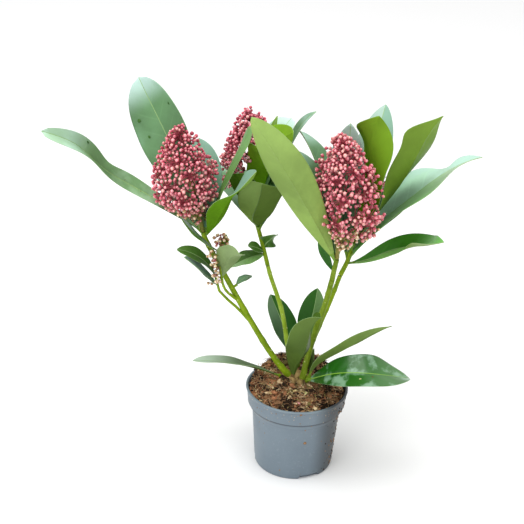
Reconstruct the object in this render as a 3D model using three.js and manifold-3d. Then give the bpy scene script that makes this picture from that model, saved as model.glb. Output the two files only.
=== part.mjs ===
// Potted skimmia: four leafy stems in a small nursery pot, with heads of dusky pink buds.
// Millimetres, +Z up, +X to the plant's right, the front towards -Y.
// The origin is the middle of the pot's flat underside.
import * as THREE from "three";
import { mergeVertices } from "three/addons/utils/BufferGeometryUtils.js";
import Module from "manifold-3d";

const wasm = await Module();
wasm.setup();

// ---- driving dimensions ----------------------------------------------------------------

const GAP = 0.3; // clearance between neighbouring solids
const FINEST = 0.03; // edges shorter than this are left out

// Nursery pot, nominal 9 cm across its rim
const POT_SIDES = 36;
const RIM_RADIUS = 45;
const RIM_HEIGHT = 76;
const COLLAR_RADIUS = 43; // foot of the near-vertical collar under the rim
const COLLAR_HEIGHT = 61.3;
const BODY_RADIUS = 38.7; // top of the tapered body, below the shoulder
const BODY_HEIGHT = 55;
const FOOT_RADIUS = 34.6;
const LIP = 0.9; // how far the rim's lip stands out
const LIP_DEPTH = 2.4;
const WALL = 1.3;
const FLOOR = 1.8;
const FOOT_BEVEL = 1.5;
const NOTCHES = 3; // drainage notches round the edge of the foot
const NOTCH_WIDTH = 20;
const NOTCH_HEIGHT = 3.4;
const NOTCH_DEPTH = 3;
const NOTCH_BEARING = -66;

// Peat: a low mound that fills the pot, level where the stems come out of it
const PEAT_EDGE_HEIGHT = 73;
const PEAT_TOP = 85;
const PEAT_LEVEL_RADIUS = 20;
const PEAT_ROUGHNESS = 1.6;
const MOUND_RINGS = [0.86, 0.7, 0.52]; // shares of the peat's edge radius
const MOUND_CURVE = 1.5;
const HEAP = 11; // how much higher the peat is piled along the back
const HEAP_RADIUS = 31;
const HEAP_SPREAD = 8;
const HEAP_DEPTH = 25; // how far back from the middle it is at its full height

// Leaves
const LEAF_STEPS = 7;
const SMALL_LEAF_STEPS = 4; // of a leaf shorter than SMALL_LEAF
const SMALL_LEAF = 60;
const LEAF_WIDEST = 0.605; // how far along its length a leaf is widest
const LEAF_BASE_TAPER = 1.15;
const PETIOLE_WIDTH = 2.6;
const TIP_WIDTH = 0.9;
const LEAF_THICKNESS = 0.0105; // of the leaf's length
const THINNEST_LEAF = 0.7;
const LEAF_FOLD = 12; // degrees each half stands up from the midrib
const NOTCH_SPAN = 0.08; // of the leaf's length

// Flower heads: clusters of closed buds on short side branches
const GOLDEN_ANGLE = 137.5;
const BUD_CLUSTER = 5; // radius of the ball that stands for a few buds
const AXIS_FOOT = 0.42; // thicknesses of a head, as shares of its bud clusters
const AXIS_TIP = 0.25;
const BRANCH_FOOT = 0.2;
const BRANCH_TIP = 0.16;
const BRANCH_CLIMB = 0.14; // how far up the axis a side branch climbs to its cluster
const BRANCH_LENGTHS = [1, 0.75, 0.5]; // tried in turn, to keep clear of what is around
const PRESSED_IN = 0.45; // share of its reach that a head loses on the side it is pressed
const PRESSED_AT_FOOT = 0.9;

// ---- finishes --------------------------------------------------------------------------

function finish(color, roughness) {
  return new THREE.MeshStandardMaterial({ color, roughness, metalness: 0 });
}
const PLASTIC = finish(0x7d919d, 0.55);
const PEAT = finish(0x5a3c2a, 0.95);
const GREEN_STEM = finish(0x86ac1e, 0.5);
const LEAF = finish(0x3f7d3f, 0.4);
const BUDS = finish(0xb85464, 0.5);

// ---- small helpers ---------------------------------------------------------------------

const radians = THREE.MathUtils.degToRad;
const { clamp, lerp, smoothstep } = THREE.MathUtils;

function vec(x, y, z) {
  return new THREE.Vector3(x, y, z);
}

// A repeatable stream of numbers from 0 to 1
function dice(seed) {
  let state = seed;
  return () => {
    state = (state * 1664525 + 1013904223) % 4294967296;
    return state / 4294967296;
  };
}

// A closed skin over rings of points that run counter-clockwise about the way they follow
function skin(rings) {
  const count = rings[0].length;
  const positions = rings.flat().flatMap((point) => point.toArray());
  const faces = [];
  for (let ring = 0; ring + 1 < rings.length; ring += 1) {
    for (let side = 0; side < count; side += 1) {
      const a = ring * count + side;
      const b = ring * count + ((side + 1) % count);
      faces.push(a, b, b + count, a, b + count, a + count);
    }
  }
  const last = (rings.length - 1) * count;
  for (let side = 1; side + 1 < count; side += 1) {
    faces.push(0, side + 1, side);
    faces.push(last, last + side, last + side + 1);
  }
  const geometry = new THREE.BufferGeometry();
  geometry.setAttribute("position", new THREE.Float32BufferAttribute(positions, 3));
  geometry.setIndex(faces);
  return geometry;
}

function solid(geometry) {
  const bare = geometry.clone();
  bare.deleteAttribute("normal");
  bare.deleteAttribute("uv");
  const merged = mergeVertices(bare, 1e-4);
  return new wasm.Manifold(
    new wasm.Mesh({
      numProp: 3,
      vertProperties: new Float32Array(merged.attributes.position.array),
      triVerts: new Uint32Array(merged.index.array),
    }),
  );
}

function fuse(solids) {
  return solids.reduce((whole, piece) => whole.add(piece));
}

// The one body that counts: sealed hollows are filled and loose scraps dropped
function largest(body) {
  const shells = body.decompose();
  return shells.reduce((best, shell) => (shell.volume() > best.volume() ? shell : best));
}

function geometryOf(body) {
  const mesh = body.getMesh();
  const geometry = new THREE.BufferGeometry();
  const positions = new THREE.Float32BufferAttribute(mesh.vertProperties, mesh.numProp);
  geometry.setAttribute("position", positions);
  geometry.setIndex(new THREE.BufferAttribute(mesh.triVerts, 1));
  geometry.computeVertexNormals();
  return geometry;
}

// ---- stems -----------------------------------------------------------------------------

// Ring of points about a direction, or level where the direction is straight up
function ringAbout(centre, direction, radius, sides) {
  const along = direction.clone().normalize();
  const u = vec(1, 0, 0).addScaledVector(along, -along.x);
  if (u.length() < 0.3) u.copy(vec(0, 1, 0).addScaledVector(along, -along.y));
  u.normalize();
  const v = along.clone().cross(u);
  const points = [];
  for (let side = 0; side < sides; side += 1) {
    const angle = (side * 2 * Math.PI) / sides;
    const point = centre.clone().addScaledVector(u, radius * Math.cos(angle));
    points.push(point.addScaledVector(v, radius * Math.sin(angle)));
  }
  return points;
}

// A round limb that tapers along a curve. A level foot is cut flat, as at the ground.
function limb({ path, foot, tip, flare = 0, sides = 8, steps = 9, level = false, swell = 0 }) {
  const curve = new THREE.CatmullRomCurve3(path.map((point) => vec(...point)));
  const rings = [];
  for (let step = 0; step <= steps; step += 1) {
    const t = step / steps;
    const radius = lerp(foot, tip, t) + flare * Math.exp(-t * 9) + swell;
    const direction = level && step === 0 ? vec(0, 0, 1) : curve.getTangent(t);
    rings.push(ringAbout(curve.getPoint(t), direction, radius, sides));
  }
  return skin(rings);
}

function pointAlong(path, t) {
  return new THREE.CatmullRomCurve3(path.map((point) => vec(...point))).getPoint(t);
}

// ---- leaves ----------------------------------------------------------------------------

function halfWidth(t, width, widest) {
  const tipTaper = (LEAF_BASE_TAPER * (1 - widest)) / widest;
  const fromRoot = (t / widest) ** LEAF_BASE_TAPER;
  const toTip = ((1 - t) / (1 - widest)) ** tipTaper;
  const narrowest = lerp(Math.min(PETIOLE_WIDTH, width / 4), TIP_WIDTH, t);
  return Math.max(width * fromRoot * toTip, narrowest) / 2;
}

// How much of its width one side of a leaf keeps, where its edge has a dent or a lobe
function sideShare(t, side, notch) {
  if (!notch || notch.side !== side) return 1;
  return 1 - notch.depth * Math.exp(-(((t - notch.at) / NOTCH_SPAN) ** 2));
}

// A blade from its root to its tip. arch bends it in its own upright plane, sweep sideways,
// bow and sway bend it there and back, roll turns it about its length, twist adds roll
// towards the tip, fold makes its V.
function leaf({ root, tip, width, swell = 0, ...shape }) {
  const { arch = 0, sweep = 0, bow = 0, sway = 0, roll = 0, twist = 0 } = shape;
  const { fold = LEAF_FOLD, widest = LEAF_WIDEST, notch } = shape;
  const chord = tip.clone().sub(root);
  const length = chord.length();
  const bearing = Math.atan2(chord.y, chord.x);
  const rise = Math.asin(chord.z / length);
  const thickness = Math.max(THINNEST_LEAF, length * LEAF_THICKNESS) + 2 * swell;
  const steps = length < SMALL_LEAF ? SMALL_LEAF_STEPS : LEAF_STEPS;
  const stations = [];
  const place = vec(0, 0, 0);
  let previous = null;
  for (let step = 0; step <= steps; step += 1) {
    const t = step / steps;
    const double = Math.sin(2 * Math.PI * t);
    const climb = rise + radians(arch) * (0.5 - t) + radians(bow) * double;
    const heading = bearing + radians(sweep) * (t - 0.5) + radians(sway) * double;
    const level = vec(Math.cos(heading), Math.sin(heading), 0);
    const along = level.clone().multiplyScalar(Math.cos(climb)).setZ(Math.sin(climb));
    const up = level.clone().multiplyScalar(-Math.sin(climb)).setZ(Math.cos(climb));
    const turn = radians(roll + twist * (t - 0.5));
    const across = along.clone().cross(up).multiplyScalar(Math.cos(turn));
    across.addScaledVector(up, Math.sin(turn));
    const face = across.clone().cross(along);
    if (previous) place.addScaledVector(previous.clone().add(along), 0.5 / steps);
    previous = along;
    stations.push({ t, place: place.clone(), across, face });
  }
  const stretch = length / place.length();
  const miss = chord.clone().addScaledVector(place, -stretch);
  const rings = stations.map(({ t, place: at, across, face }) => {
    const middle = root.clone().addScaledVector(at, stretch).addScaledVector(miss, t);
    const point = (side, top) => {
      const half = halfWidth(t, width, widest) * sideShare(t, side, notch) + swell;
      const corner = middle.clone().addScaledVector(across, side * half * Math.cos(radians(fold)));
      const lift = Math.abs(side) * half * Math.sin(radians(fold));
      return corner.addScaledVector(face, lift + (top * thickness) / 2);
    };
    return [point(0, 1), point(1, 1), point(1, -1), point(0, -1), point(-1, -1), point(-1, 1)];
  });
  return skin(rings);
}

// A mass of leaves: a short stem that goes on from its limb, with the leaves rooted in it.
// With a swell it is the room that its neighbours leave free.
function leafMass({ stem, leaves }, swell = 0) {
  const pieces = [solid(limb({ sides: 7, steps: 4, ...stem, swell }))];
  for (const { at, ...shape } of leaves) {
    const root = pointAlong(stem.path, at);
    pieces.push(solid(leaf({ ...shape, root, swell, tip: vec(...shape.tip) })));
  }
  return fuse(pieces);
}

// ---- flower heads ----------------------------------------------------------------------

// How far the head reaches out from its axis, as a share of its widest
function headShape(t) {
  return Math.sin(Math.PI * (0.03 + 0.93 * t ** 0.85)) ** 0.9;
}

function sideTwig(points, bud) {
  const path = points.map((point) => point.toArray());
  return limb({ path, foot: bud * BRANCH_FOOT, tip: bud * BRANCH_TIP, steps: 2, sides: 3 });
}

// An upright head of buds on side branches that wind up its axis. It keeps out of the room
// of what is around it: its axis is cut clear, and a branch or bud that would reach in is
// left off. press is the bearing of a leaf that stands close and flattens that side, bare
// the share of the axis below its first branch.
function flowerHead({ foot, tip, width, branches, bare, press, seed, ...rest }, rooms) {
  const { bud = BUD_CLUSTER } = rest;
  const roll = dice(seed);
  const axis = vec(...tip).sub(vec(...foot));
  const along = axis.clone().normalize();
  const sideways = vec(0, 1, 0).addScaledVector(along, -along.y).normalize();
  const across = along.clone().cross(sideways);
  const onAxis = (t) => vec(...foot).addScaledVector(axis, t);
  const clear = (piece) => rooms.every((room) => room.intersect(piece).volume() <= 0);
  const path = [foot, onAxis(0.5).toArray(), onAxis(0.93).toArray()];
  const thickness = { foot: bud * AXIS_FOOT, tip: bud * AXIS_TIP };
  let head = solid(limb({ path, ...thickness, sides: 5, steps: 3 }));
  head = rooms.reduce((whole, room) => whole.subtract(room), head);
  for (let branch = 0; branch < branches; branch += 1) {
    const t = lerp(bare, 1, (branch + 0.5) / branches);
    const angle = radians(GOLDEN_ANGLE * branch + 20 * roll());
    const out = sideways.clone().multiplyScalar(Math.cos(angle));
    out.addScaledVector(across, Math.sin(angle));
    const facing = press ? Math.cos(Math.atan2(out.y, out.x) - radians(press)) : 0;
    const pressed = lerp(PRESSED_AT_FOOT, PRESSED_IN, smoothstep(t, 0, 0.4));
    const room = 1 - pressed * Math.max(facing, 0);
    const widest = Math.max(headShape(t) * (width / 2) - bud, bud * 0.6);
    const reach = widest * room * lerp(0.9, 1, roll());
    const sizes = [roll(), roll()].map((draw) => bud * lerp(0.85, 1, draw));
    const start = onAxis(clamp(t - BRANCH_CLIMB, 0.02, 0.85));
    for (const share of BRANCH_LENGTHS) {
      const end = onAxis(lerp(0.03, 0.96, t)).addScaledVector(out, reach * share);
      const middle = start.clone().lerp(end, 0.5).addScaledVector(along, bud * 0.8);
      const twig = solid(sideTwig([start, middle, end], bud));
      const clusters = [middle, end].map((centre, index) => {
        const cluster = new THREE.IcosahedronGeometry(sizes[index], 0);
        return solid(cluster.translate(centre.x, centre.y, centre.z));
      });
      if (!clear(twig) || !clear(clusters[1])) continue;
      head = fuse([head, twig, ...clusters.filter(clear)]);
      break;
    }
  }
  return head;
}

// ---- the pot and its peat --------------------------------------------------------------

function potSolid() {
  const outline = [
    [0, 0],
    [FOOT_RADIUS - FOOT_BEVEL, 0],
    [FOOT_RADIUS, FOOT_BEVEL],
    [BODY_RADIUS, BODY_HEIGHT],
    [COLLAR_RADIUS, COLLAR_HEIGHT],
    [RIM_RADIUS - LIP, RIM_HEIGHT - LIP_DEPTH],
    [RIM_RADIUS, RIM_HEIGHT - LIP_DEPTH + 0.4],
    [RIM_RADIUS, RIM_HEIGHT],
    [RIM_RADIUS - LIP - WALL, RIM_HEIGHT],
    [COLLAR_RADIUS - WALL, COLLAR_HEIGHT],
    [BODY_RADIUS - WALL, BODY_HEIGHT],
    [FOOT_RADIUS - WALL, FLOOR],
    [0, FLOOR],
  ];
  const profile = outline.map(([radius, height]) => new THREE.Vector2(radius, height));
  const shell = new THREE.LatheGeometry(profile, POT_SIDES).rotateX(Math.PI / 2);
  let pot = solid(shell);
  if (pot.volume() < 0) throw new Error("the pot's profile runs the wrong way");
  for (let notch = 0; notch < NOTCHES; notch += 1) {
    const bearing = radians(NOTCH_BEARING + (notch * 360) / NOTCHES);
    const cut = new THREE.BoxGeometry(2 * NOTCH_DEPTH, NOTCH_WIDTH, 2 * NOTCH_HEIGHT);
    cut.translate(FOOT_RADIUS + 1, 0, 0).rotateZ(bearing);
    pot = pot.subtract(solid(cut));
  }
  return pot;
}

function heapAt({ x, y }) {
  const off = (Math.hypot(x, y) - HEAP_RADIUS) / HEAP_SPREAD;
  return HEAP * smoothstep(y, 0, HEAP_DEPTH) * Math.exp(-off * off);
}

// The peat follows the pot's inside, GAP clear of it, and its top is a rough mound
function peatSolid() {
  const roll = dice(71);
  const inside = (radius) => radius - WALL - GAP - 0.2;
  const walls = [
    [inside(FOOT_RADIUS), FLOOR + GAP],
    [inside(BODY_RADIUS), BODY_HEIGHT],
    [inside(COLLAR_RADIUS), COLLAR_HEIGHT + 1],
    [inside(RIM_RADIUS - LIP), PEAT_EDGE_HEIGHT],
  ];
  const edge = walls[walls.length - 1][0];
  const mound = MOUND_RINGS.map((share) => {
    const radius = edge * share;
    const slope = (radius - PEAT_LEVEL_RADIUS) / (edge - PEAT_LEVEL_RADIUS);
    return [radius, lerp(PEAT_TOP, PEAT_EDGE_HEIGHT, slope ** MOUND_CURVE), PEAT_ROUGHNESS];
  });
  const profile = [...walls, ...mound, [PEAT_LEVEL_RADIUS, PEAT_TOP]];
  const rings = profile.map(([radius, height, rough]) => {
    const ring = ringAbout(vec(0, 0, height), vec(0, 0, 1), radius, POT_SIDES / 2);
    if (!rough) return ring;
    return ring.map((point) => point.setZ(point.z + heapAt(point) + rough * (roll() - 0.5)));
  });
  return solid(skin(rings));
}

// ---- where the stems run ---------------------------------------------------------------

const FOOT_HEIGHT = PEAT_TOP + GAP;

const STEMS = {
  stem_left: {
    path: [
      [-7.5, 0, FOOT_HEIGHT],
      [-22, -2, 105],
      [-43.4, -6, 142.5],
      [-66.2, -10, 186.5],
      [-79.5, -13.4, 213.5],
    ],
    foot: 2.6,
    tip: 2.2,
    flare: 0.8,
  },
  stem_middle: {
    path: [
      [-3, 6, FOOT_HEIGHT],
      [-10, 10, 111],
      [-16.6, 15, 142],
      [-28, 21, 173],
      [-30.5, 22.6, 181],
    ],
    foot: 2,
    tip: 1.8,
    flare: 0.5,
  },
  stem_right: {
    path: [
      [4.5, -4, FOOT_HEIGHT],
      [7, -4.5, 104],
      [13.3, -6, 137.5],
      [19.3, -7.5, 162],
      [23.6, -9.6, 186],
    ],
    foot: 2.7,
    tip: 2.3,
    flare: 0.6,
  },
  stem_rear: {
    path: [
      [5.5, 4, FOOT_HEIGHT],
      [10.8, 6, 114],
      [18.4, 7.6, 138.4],
      [25, 9.2, 158],
      [31.5, 12, 179.5],
    ],
    foot: 2.1,
    tip: 1.9,
    flare: 0.3,
  },
};

// Two thin side twigs off the left stem. Each starts inside the stem and is cut clear of it.
const TWIGS = {
  twig_outer: {
    path: [
      [-41, -6, 138],
      [-54.5, -9, 155],
      [-63.5, -12, 165],
      [-70, -13.6, 173],
    ],
    foot: 1.3,
    tip: 1.1,
  },
  twig_inner: {
    path: [
      [-54, -8, 162],
      [-59, -12.5, 168],
      [-65, -16.5, 176],
      [-67.4, -17.6, 182],
    ],
    foot: 1.3,
    tip: 1.1,
  },
};

// ---- the masses of leaves --------------------------------------------------------------
// at: how far up the mass's own stem a leaf is rooted; tip: where it ends.

const MASSES = {
  leaves_left: {
    stem: { path: [[-79.7, -13.5, 214], [-82.4, -14.2, 220], [-85, -15, 227]], foot: 2.4, tip: 2 },
    leaves: [
      {
        at: 0.9, tip: [-142, 31, 342], width: 47, arch: 8, sweep: -3, roll: 74, twist: -11,
        fold: 14, bow: 4, widest: 0.66,
      },
      {
        at: 0.7, tip: [-208, -47, 321], width: 20, arch: 47, sweep: -44, roll: 49, twist: 27,
        fold: 30, bow: -23, sway: -50, widest: 0.7, notch: { at: 0.59, depth: 0.29, side: 1 },
      },
      {
        at: 0.75, tip: [-43, -61, 301], width: 34, arch: -15, sweep: -38, roll: -15, twist: -60,
        fold: 18, bow: 13, sway: -10, widest: 0.59,
      },
      { at: 0.9, tip: [-92, 30, 292], width: 34, arch: 20 },
      {
        at: 0.8, tip: [-50, 4, 314], width: 18, arch: -6, sweep: 8, roll: -160, twist: -39, bow: 7,
        sway: 6, widest: 0.69,
      },
      { at: 0.6, tip: [-128, 62, 262], width: 36, arch: 30 },
      { at: 0.5, tip: [-108, 76, 238], width: 34, arch: 30 },
    ],
  },
  leaves_outer: {
    stem: { path: [[-70.3, -13.7, 173.4], [-72, -14.4, 180], [-74, -15.4, 188]], foot: 1.2, tip: 1 },
    leaves: [
      { at: 0.9, tip: [-106, -18, 212], width: 15, arch: 65, roll: 18, twist: 19 },
      { at: 0.4, tip: [-99, -30, 211], width: 16, arch: 5, sweep: 8, roll: 20, twist: -22 },
    ],
  },
  leaves_inner: {
    stem: { path: [[-67.6, -17.7, 182.4], [-69, -18, 192], [-70, -19, 214]], foot: 1.2, tip: 1 },
    leaves: [
      {
        at: 0.25, tip: [-54, -40, 221], width: 24, arch: 52, sweep: -20, roll: 35, twist: 20,
        fold: 29, bow: 4, sway: -15, widest: 0.62,
      },
      { at: 0.55, tip: [-66, -10, 224], width: 9 },
      { at: 0.95, tip: [-102, -33, 248], width: 12, arch: -25, roll: 14, twist: 25, fold: 6 },
    ],
  },
  leaves_left_low: {
    stem: { path: [[-60.4, -9, 175], [-58, -8.4, 175.6], [-55.5, -8, 177]], foot: 1.2, tip: 1 },
    side: "stem_left",
    leaves: [
      { at: 0.8, tip: [-47, -2, 182], width: 9, arch: 40 },
      { at: 0.7, tip: [-44, 8, 178], width: 9, arch: 30 },
    ],
  },
  leaves_middle: {
    stem: { path: [[-30.7, 22.8, 181.6], [-36, 26.4, 200], [-41.5, 30.5, 217]], foot: 1.9, tip: 1.8 },
    leaves: [
      {
        at: 0.95, tip: [-38, -4, 268], width: 36, arch: -65, sweep: 25, roll: 19, twist: 54,
        fold: 17, bow: -3, sway: -21, widest: 0.79,
      },
      {
        at: 0.9, tip: [-45, 3, 298], width: 35, arch: 57, sweep: -39, roll: -49, twist: 89,
        fold: 21, sway: 26, widest: 0.7,
      },
      {
        at: 0.95, tip: [-16, 55, 304], width: 35, arch: 64, sweep: -9, roll: 3, twist: 5,
        fold: 12, sway: 3, widest: 0.73,
      },
      {
        at: 0.9, tip: [-15, -5, 314], width: 27, arch: 59, sweep: -5, roll: 83, twist: 40,
        fold: 8, bow: 20, sway: -1, widest: 0.67,
      },
      {
        at: 0.95, tip: [3, 20, 323], width: 19, arch: 61, sweep: -16, roll: -33, twist: -28,
        fold: 12, bow: -16, sway: 17, widest: 0.57,
      },
      { at: 0.25, tip: [-62, 16, 181], width: 19, arch: 40, sweep: -12, roll: 14, twist: -40 },
      { at: 0.3, tip: [-48, 12, 204], width: 11, arch: 20, roll: 40 },
      {
        at: 0.4, tip: [-23, 27, 209], width: 20, arch: 41, sweep: 12, roll: -109, twist: -91,
        fold: 5, bow: 7, sway: -24, widest: 0.67,
      },
      { at: 0.85, tip: [-76, 112, 236], width: 36, arch: 30 },
      { at: 0.8, tip: [-22, 122, 252], width: 36, arch: 35 },
      { at: 0.8, tip: [-60, 3, 273], width: 25, arch: 20, roll: -20, widest: 0.72 },
      { at: 0.9, tip: [-28, 40, 311], width: 14, arch: 20 },
    ],
  },
  leaves_right: {
    stem: { path: [[23.7, -9.6, 186.4], [24.6, -10.3, 195], [26.2, -11, 206]], foot: 2.3, tip: 2.1 },
    leaves: [
      { at: 0.85, tip: [-48, -60, 344], width: 35, arch: 5, sweep: -8, roll: -55, twist: 15, fold: 24 },
      {
        at: 0.8, tip: [-9, 59, 292], width: 30, arch: 79, sweep: -7, roll: -31, twist: -1, fold: 25,
        bow: -5, sway: -4, widest: 0.64,
      },
      { at: 0.75, tip: [-14, 4, 295], width: 26, arch: 40, roll: 30 },
      { at: 0.85, tip: [31, 12, 317], width: 34, arch: -35, roll: 10, twist: -20 },
      { at: 0.4, tip: [10.5, -6, 220.5], width: 8, roll: 90 },
    ],
  },
  leaves_rear: {
    stem: { path: [[31.7, 12.2, 180], [37, 17, 190.5], [41.5, 22, 202]], foot: 2.1, tip: 1.9 },
    leaves: [
      {
        at: 0.9, tip: [52, -1, 329], width: 52, arch: 17, sweep: 55, roll: 102, twist: -140,
        fold: 12, bow: -2, sway: 33, widest: 0.59,
      },
      { at: 0.95, tip: [65, 84, 310], width: 34, arch: 20 },
      {
        at: 0.85, tip: [103, 0, 331], width: 45, arch: 21, sweep: -16, roll: 10, twist: 29,
        fold: 14, bow: -11, sway: 15, widest: 0.54, notch: { at: 0.88, depth: -0.76, side: 1 },
      },
      {
        at: 0.5, tip: [144, 33, 285], width: 59, arch: 47, sweep: -34, roll: 4, twist: 14,
        fold: 12, bow: -5, sway: -12, widest: 0.57, notch: { at: 0.8, depth: 0.7, side: -1 },
      },
      {
        at: 0.45, tip: [111, -24, 232], width: 25, arch: -14, sweep: -8, roll: -22, twist: 19,
        fold: 27, bow: -2, sway: 49, widest: 0.64,
      },
      { at: 0.7, tip: [104, 100, 232], width: 36, arch: 40 },
      { at: 0.5, tip: [38, 128, 258], width: 36, arch: 35 },
    ],
  },
  leaves_low_left: {
    stem: { path: [[-15.4, -2, FOOT_HEIGHT], [-15.6, -2, 86.2], [-16.4, -2.2, 87.6]], foot: 1.5, tip: 1.2 },
    leaves: [
      { at: 0.5, tip: [-92, -8, 101], width: 20, arch: 25, roll: -14, twist: 26, fold: 15 },
    ],
  },
  leaves_low_front: {
    stem: { path: [[-4, -12, FOOT_HEIGHT], [-4, -12, 88], [-3.6, -12, 91]], foot: 1.8, tip: 1.4 },
    leaves: [
      {
        at: 0.6, tip: [15, -38, 165], width: 35, arch: 59, sweep: 46, roll: 3, twist: 7,
        fold: 37, bow: -27, sway: -6, widest: 0.65,
      },
    ],
  },
  leaves_low_right: {
    stem: { path: [[8, -8.5, FOOT_HEIGHT], [8, -8.5, 87], [10.5, -5.5, 91]], foot: 1.8, tip: 1.4 },
    leaves: [
      {
        at: 0.9, tip: [76, -18, 149], width: 20, arch: 67, sweep: 60, roll: 40, twist: 109,
        fold: 20, bow: -10, sway: -5, widest: 0.46,
      },
      {
        at: 0.4, tip: [94, -26, 104], width: 37, arch: 50, sweep: 70, roll: -26, twist: 56,
        fold: 13, bow: 10, sway: -9, widest: 0.66,
      },
      { at: 0.9, tip: [13, 0, 114], width: 6, arch: 10, roll: 30 },
    ],
  },
  leaves_low_back: {
    stem: { path: [[0, 16, FOOT_HEIGHT], [0, 16, 88], [-0.5, 16.4, 92]], foot: 2, tip: 1.6 },
    leaves: [
      { at: 0.7, tip: [-27, 46, 141], width: 27, arch: 10, sweep: -6, twist: -10 },
      { at: 0.8, tip: [14, 29, 158], width: 25, arch: -20, sweep: 8, roll: -16, twist: -20 },
    ],
  },
};

// ---- the heads of buds -----------------------------------------------------------------

const HEADS = {
  flowers_left: {
    foot: [-85.3, -15, 228],
    tip: [-106, -8, 314],
    width: 66,
    branches: 31,
    bare: 0.08,
    press: -40,
    seed: 11,
  },
  flowers_middle: {
    foot: [-41.9, 31, 218],
    tip: [-51, 42, 314],
    width: 58,
    branches: 26,
    bare: 0.3,
    seed: 5,
  },
  flowers_right: {
    foot: [26.3, -11, 207],
    tip: [24, -14, 314],
    width: 76,
    branches: 33,
    bare: 0.1,
    press: -138,
    seed: 9,
  },
  flowers_rear: {
    foot: [41.7, 22.3, 203],
    tip: [56, 50, 286],
    width: 42,
    branches: 18,
    bare: 0.1,
    seed: 13,
  },
  flowers_inner: {
    foot: [-70.4, -19, 214.6],
    tip: [-70, -16, 228],
    width: 14,
    branches: 4,
    bare: 0,
    bud: 2.4,
    seed: 21,
  },
};

// ---- assembly --------------------------------------------------------------------------

const skimmia = new THREE.Group();

function place(name, made, material) {
  const body = largest(made).simplify(FINEST);
  if (body.volume() <= 0) throw new Error(`${name} has no solid`);
  const mesh = new THREE.Mesh(geometryOf(body), material);
  mesh.name = name;
  skimmia.add(mesh);
}

place("pot", potSolid(), PLASTIC);
place("peat", peatSolid(), PEAT);

// What each stem and mass keeps free around it
const rooms = {};

for (const [name, stem] of Object.entries(STEMS)) {
  place(name, solid(limb({ ...stem, level: true })), GREEN_STEM);
  rooms[name] = solid(limb({ ...stem, level: true, swell: GAP }));
}
for (const [name, twig] of Object.entries(TWIGS)) {
  const whole = solid(limb({ ...twig, sides: 6, steps: 6 }));
  place(name, whole.subtract(rooms.stem_left), GREEN_STEM);
}
for (const [name, mass] of Object.entries(MASSES)) {
  const whole = leafMass(mass);
  place(name, mass.side ? whole.subtract(rooms[mass.side]) : whole, LEAF);
  rooms[name] = leafMass(mass, GAP);
}
for (const [name, head] of Object.entries(HEADS)) {
  place(name, flowerHead(head, Object.values(rooms)), BUDS);
}

export default skimmia;
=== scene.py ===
import math
import random

import bpy
import numpy as np
from mathutils import Matrix, Vector, noise
from mathutils.bvhtree import BVHTree


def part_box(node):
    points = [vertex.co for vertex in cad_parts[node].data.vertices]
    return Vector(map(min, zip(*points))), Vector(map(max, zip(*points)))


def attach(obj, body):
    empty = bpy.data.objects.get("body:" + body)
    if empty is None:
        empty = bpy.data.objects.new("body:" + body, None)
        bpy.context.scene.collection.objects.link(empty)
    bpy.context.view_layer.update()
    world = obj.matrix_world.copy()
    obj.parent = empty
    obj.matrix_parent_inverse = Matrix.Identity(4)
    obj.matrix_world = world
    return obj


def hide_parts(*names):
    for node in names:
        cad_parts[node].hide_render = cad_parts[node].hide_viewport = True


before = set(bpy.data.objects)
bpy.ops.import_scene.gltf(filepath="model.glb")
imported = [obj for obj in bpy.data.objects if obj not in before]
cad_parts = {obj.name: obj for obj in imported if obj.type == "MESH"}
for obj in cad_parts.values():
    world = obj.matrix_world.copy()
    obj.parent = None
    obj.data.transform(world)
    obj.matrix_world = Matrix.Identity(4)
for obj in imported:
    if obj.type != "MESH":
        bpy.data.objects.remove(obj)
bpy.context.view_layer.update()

MM = 0.001
TURN = 2 * math.pi
UP = Vector((0, 0, 1))
scene = bpy.context.scene


# ---- small helpers ----------------------------------------------------------------------


def lerp(a, b, t):
    return a + (b - a) * t


def clamp(value, low, high):
    return max(low, min(high, value))


def smooth(low, high, value):
    """Rises smoothly from 0 at low to 1 at high."""
    t = clamp((value - low) / (high - low), 0, 1)
    return t * t * (3 - 2 * t)


def bell(offset, spread):
    """1 in the middle, falling off to nothing about two spreads away."""
    return math.exp(-((offset / spread) ** 2))


def linear(colour, share=1.0, lift=0.0):
    """A screen colour from 0 to 255, darkened by a share or lifted, as linear light."""
    channels = (min(255, channel * share + lift) / 255 for channel in colour)
    return (*(c / 12.92 if c <= 0.04045 else ((c + 0.055) / 1.055) ** 2.4 for c in channels), 1.0)


def dice(seed):
    """The repeatable stream of numbers from 0 to 1 that the solids are grown with."""
    state = seed
    while True:
        state = (state * 1664525 + 1013904223) % 4294967296
        yield state / 4294967296


def swing(u, v, angle):
    """The direction u, turned towards v."""
    return u * math.cos(angle) + v * math.sin(angle)


def polar(radius, angle, z=0.0):
    return Vector((radius * math.cos(angle), radius * math.sin(angle), z))


def curve_point(path, t):
    """A point on the centripetal curve through a path, evenly shared out over its spans."""
    points = [Vector(point) for point in path]
    points.insert(0, points[0] * 2 - points[1])
    points.append(points[-1] * 2 - points[-2])
    spans = len(points) - 3
    span = min(int(t * spans), spans - 1)
    u = t * spans - span
    p0, p1, p2, p3 = points[span : span + 4]
    d0, d1, d2 = (max((q - p).length ** 0.5, 1e-4) for p, q in ((p0, p1), (p1, p2), (p2, p3)))
    start = ((p1 - p0) / d0 - (p2 - p0) / (d0 + d1) + (p2 - p1) / d1) * d1
    end = ((p2 - p1) / d1 - (p3 - p1) / (d1 + d2) + (p3 - p2) / d2) * d1
    a = p1 * 2 - p2 * 2 + start + end
    b = p2 * 3 - p1 * 3 - start * 2 - end
    return ((a * u + b) * u + start) * u + p1


def curve_direction(path, t):
    ahead = curve_point(path, min(t + 0.01, 1))
    return (ahead - curve_point(path, max(t - 0.01, 0))).normalized()


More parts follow.
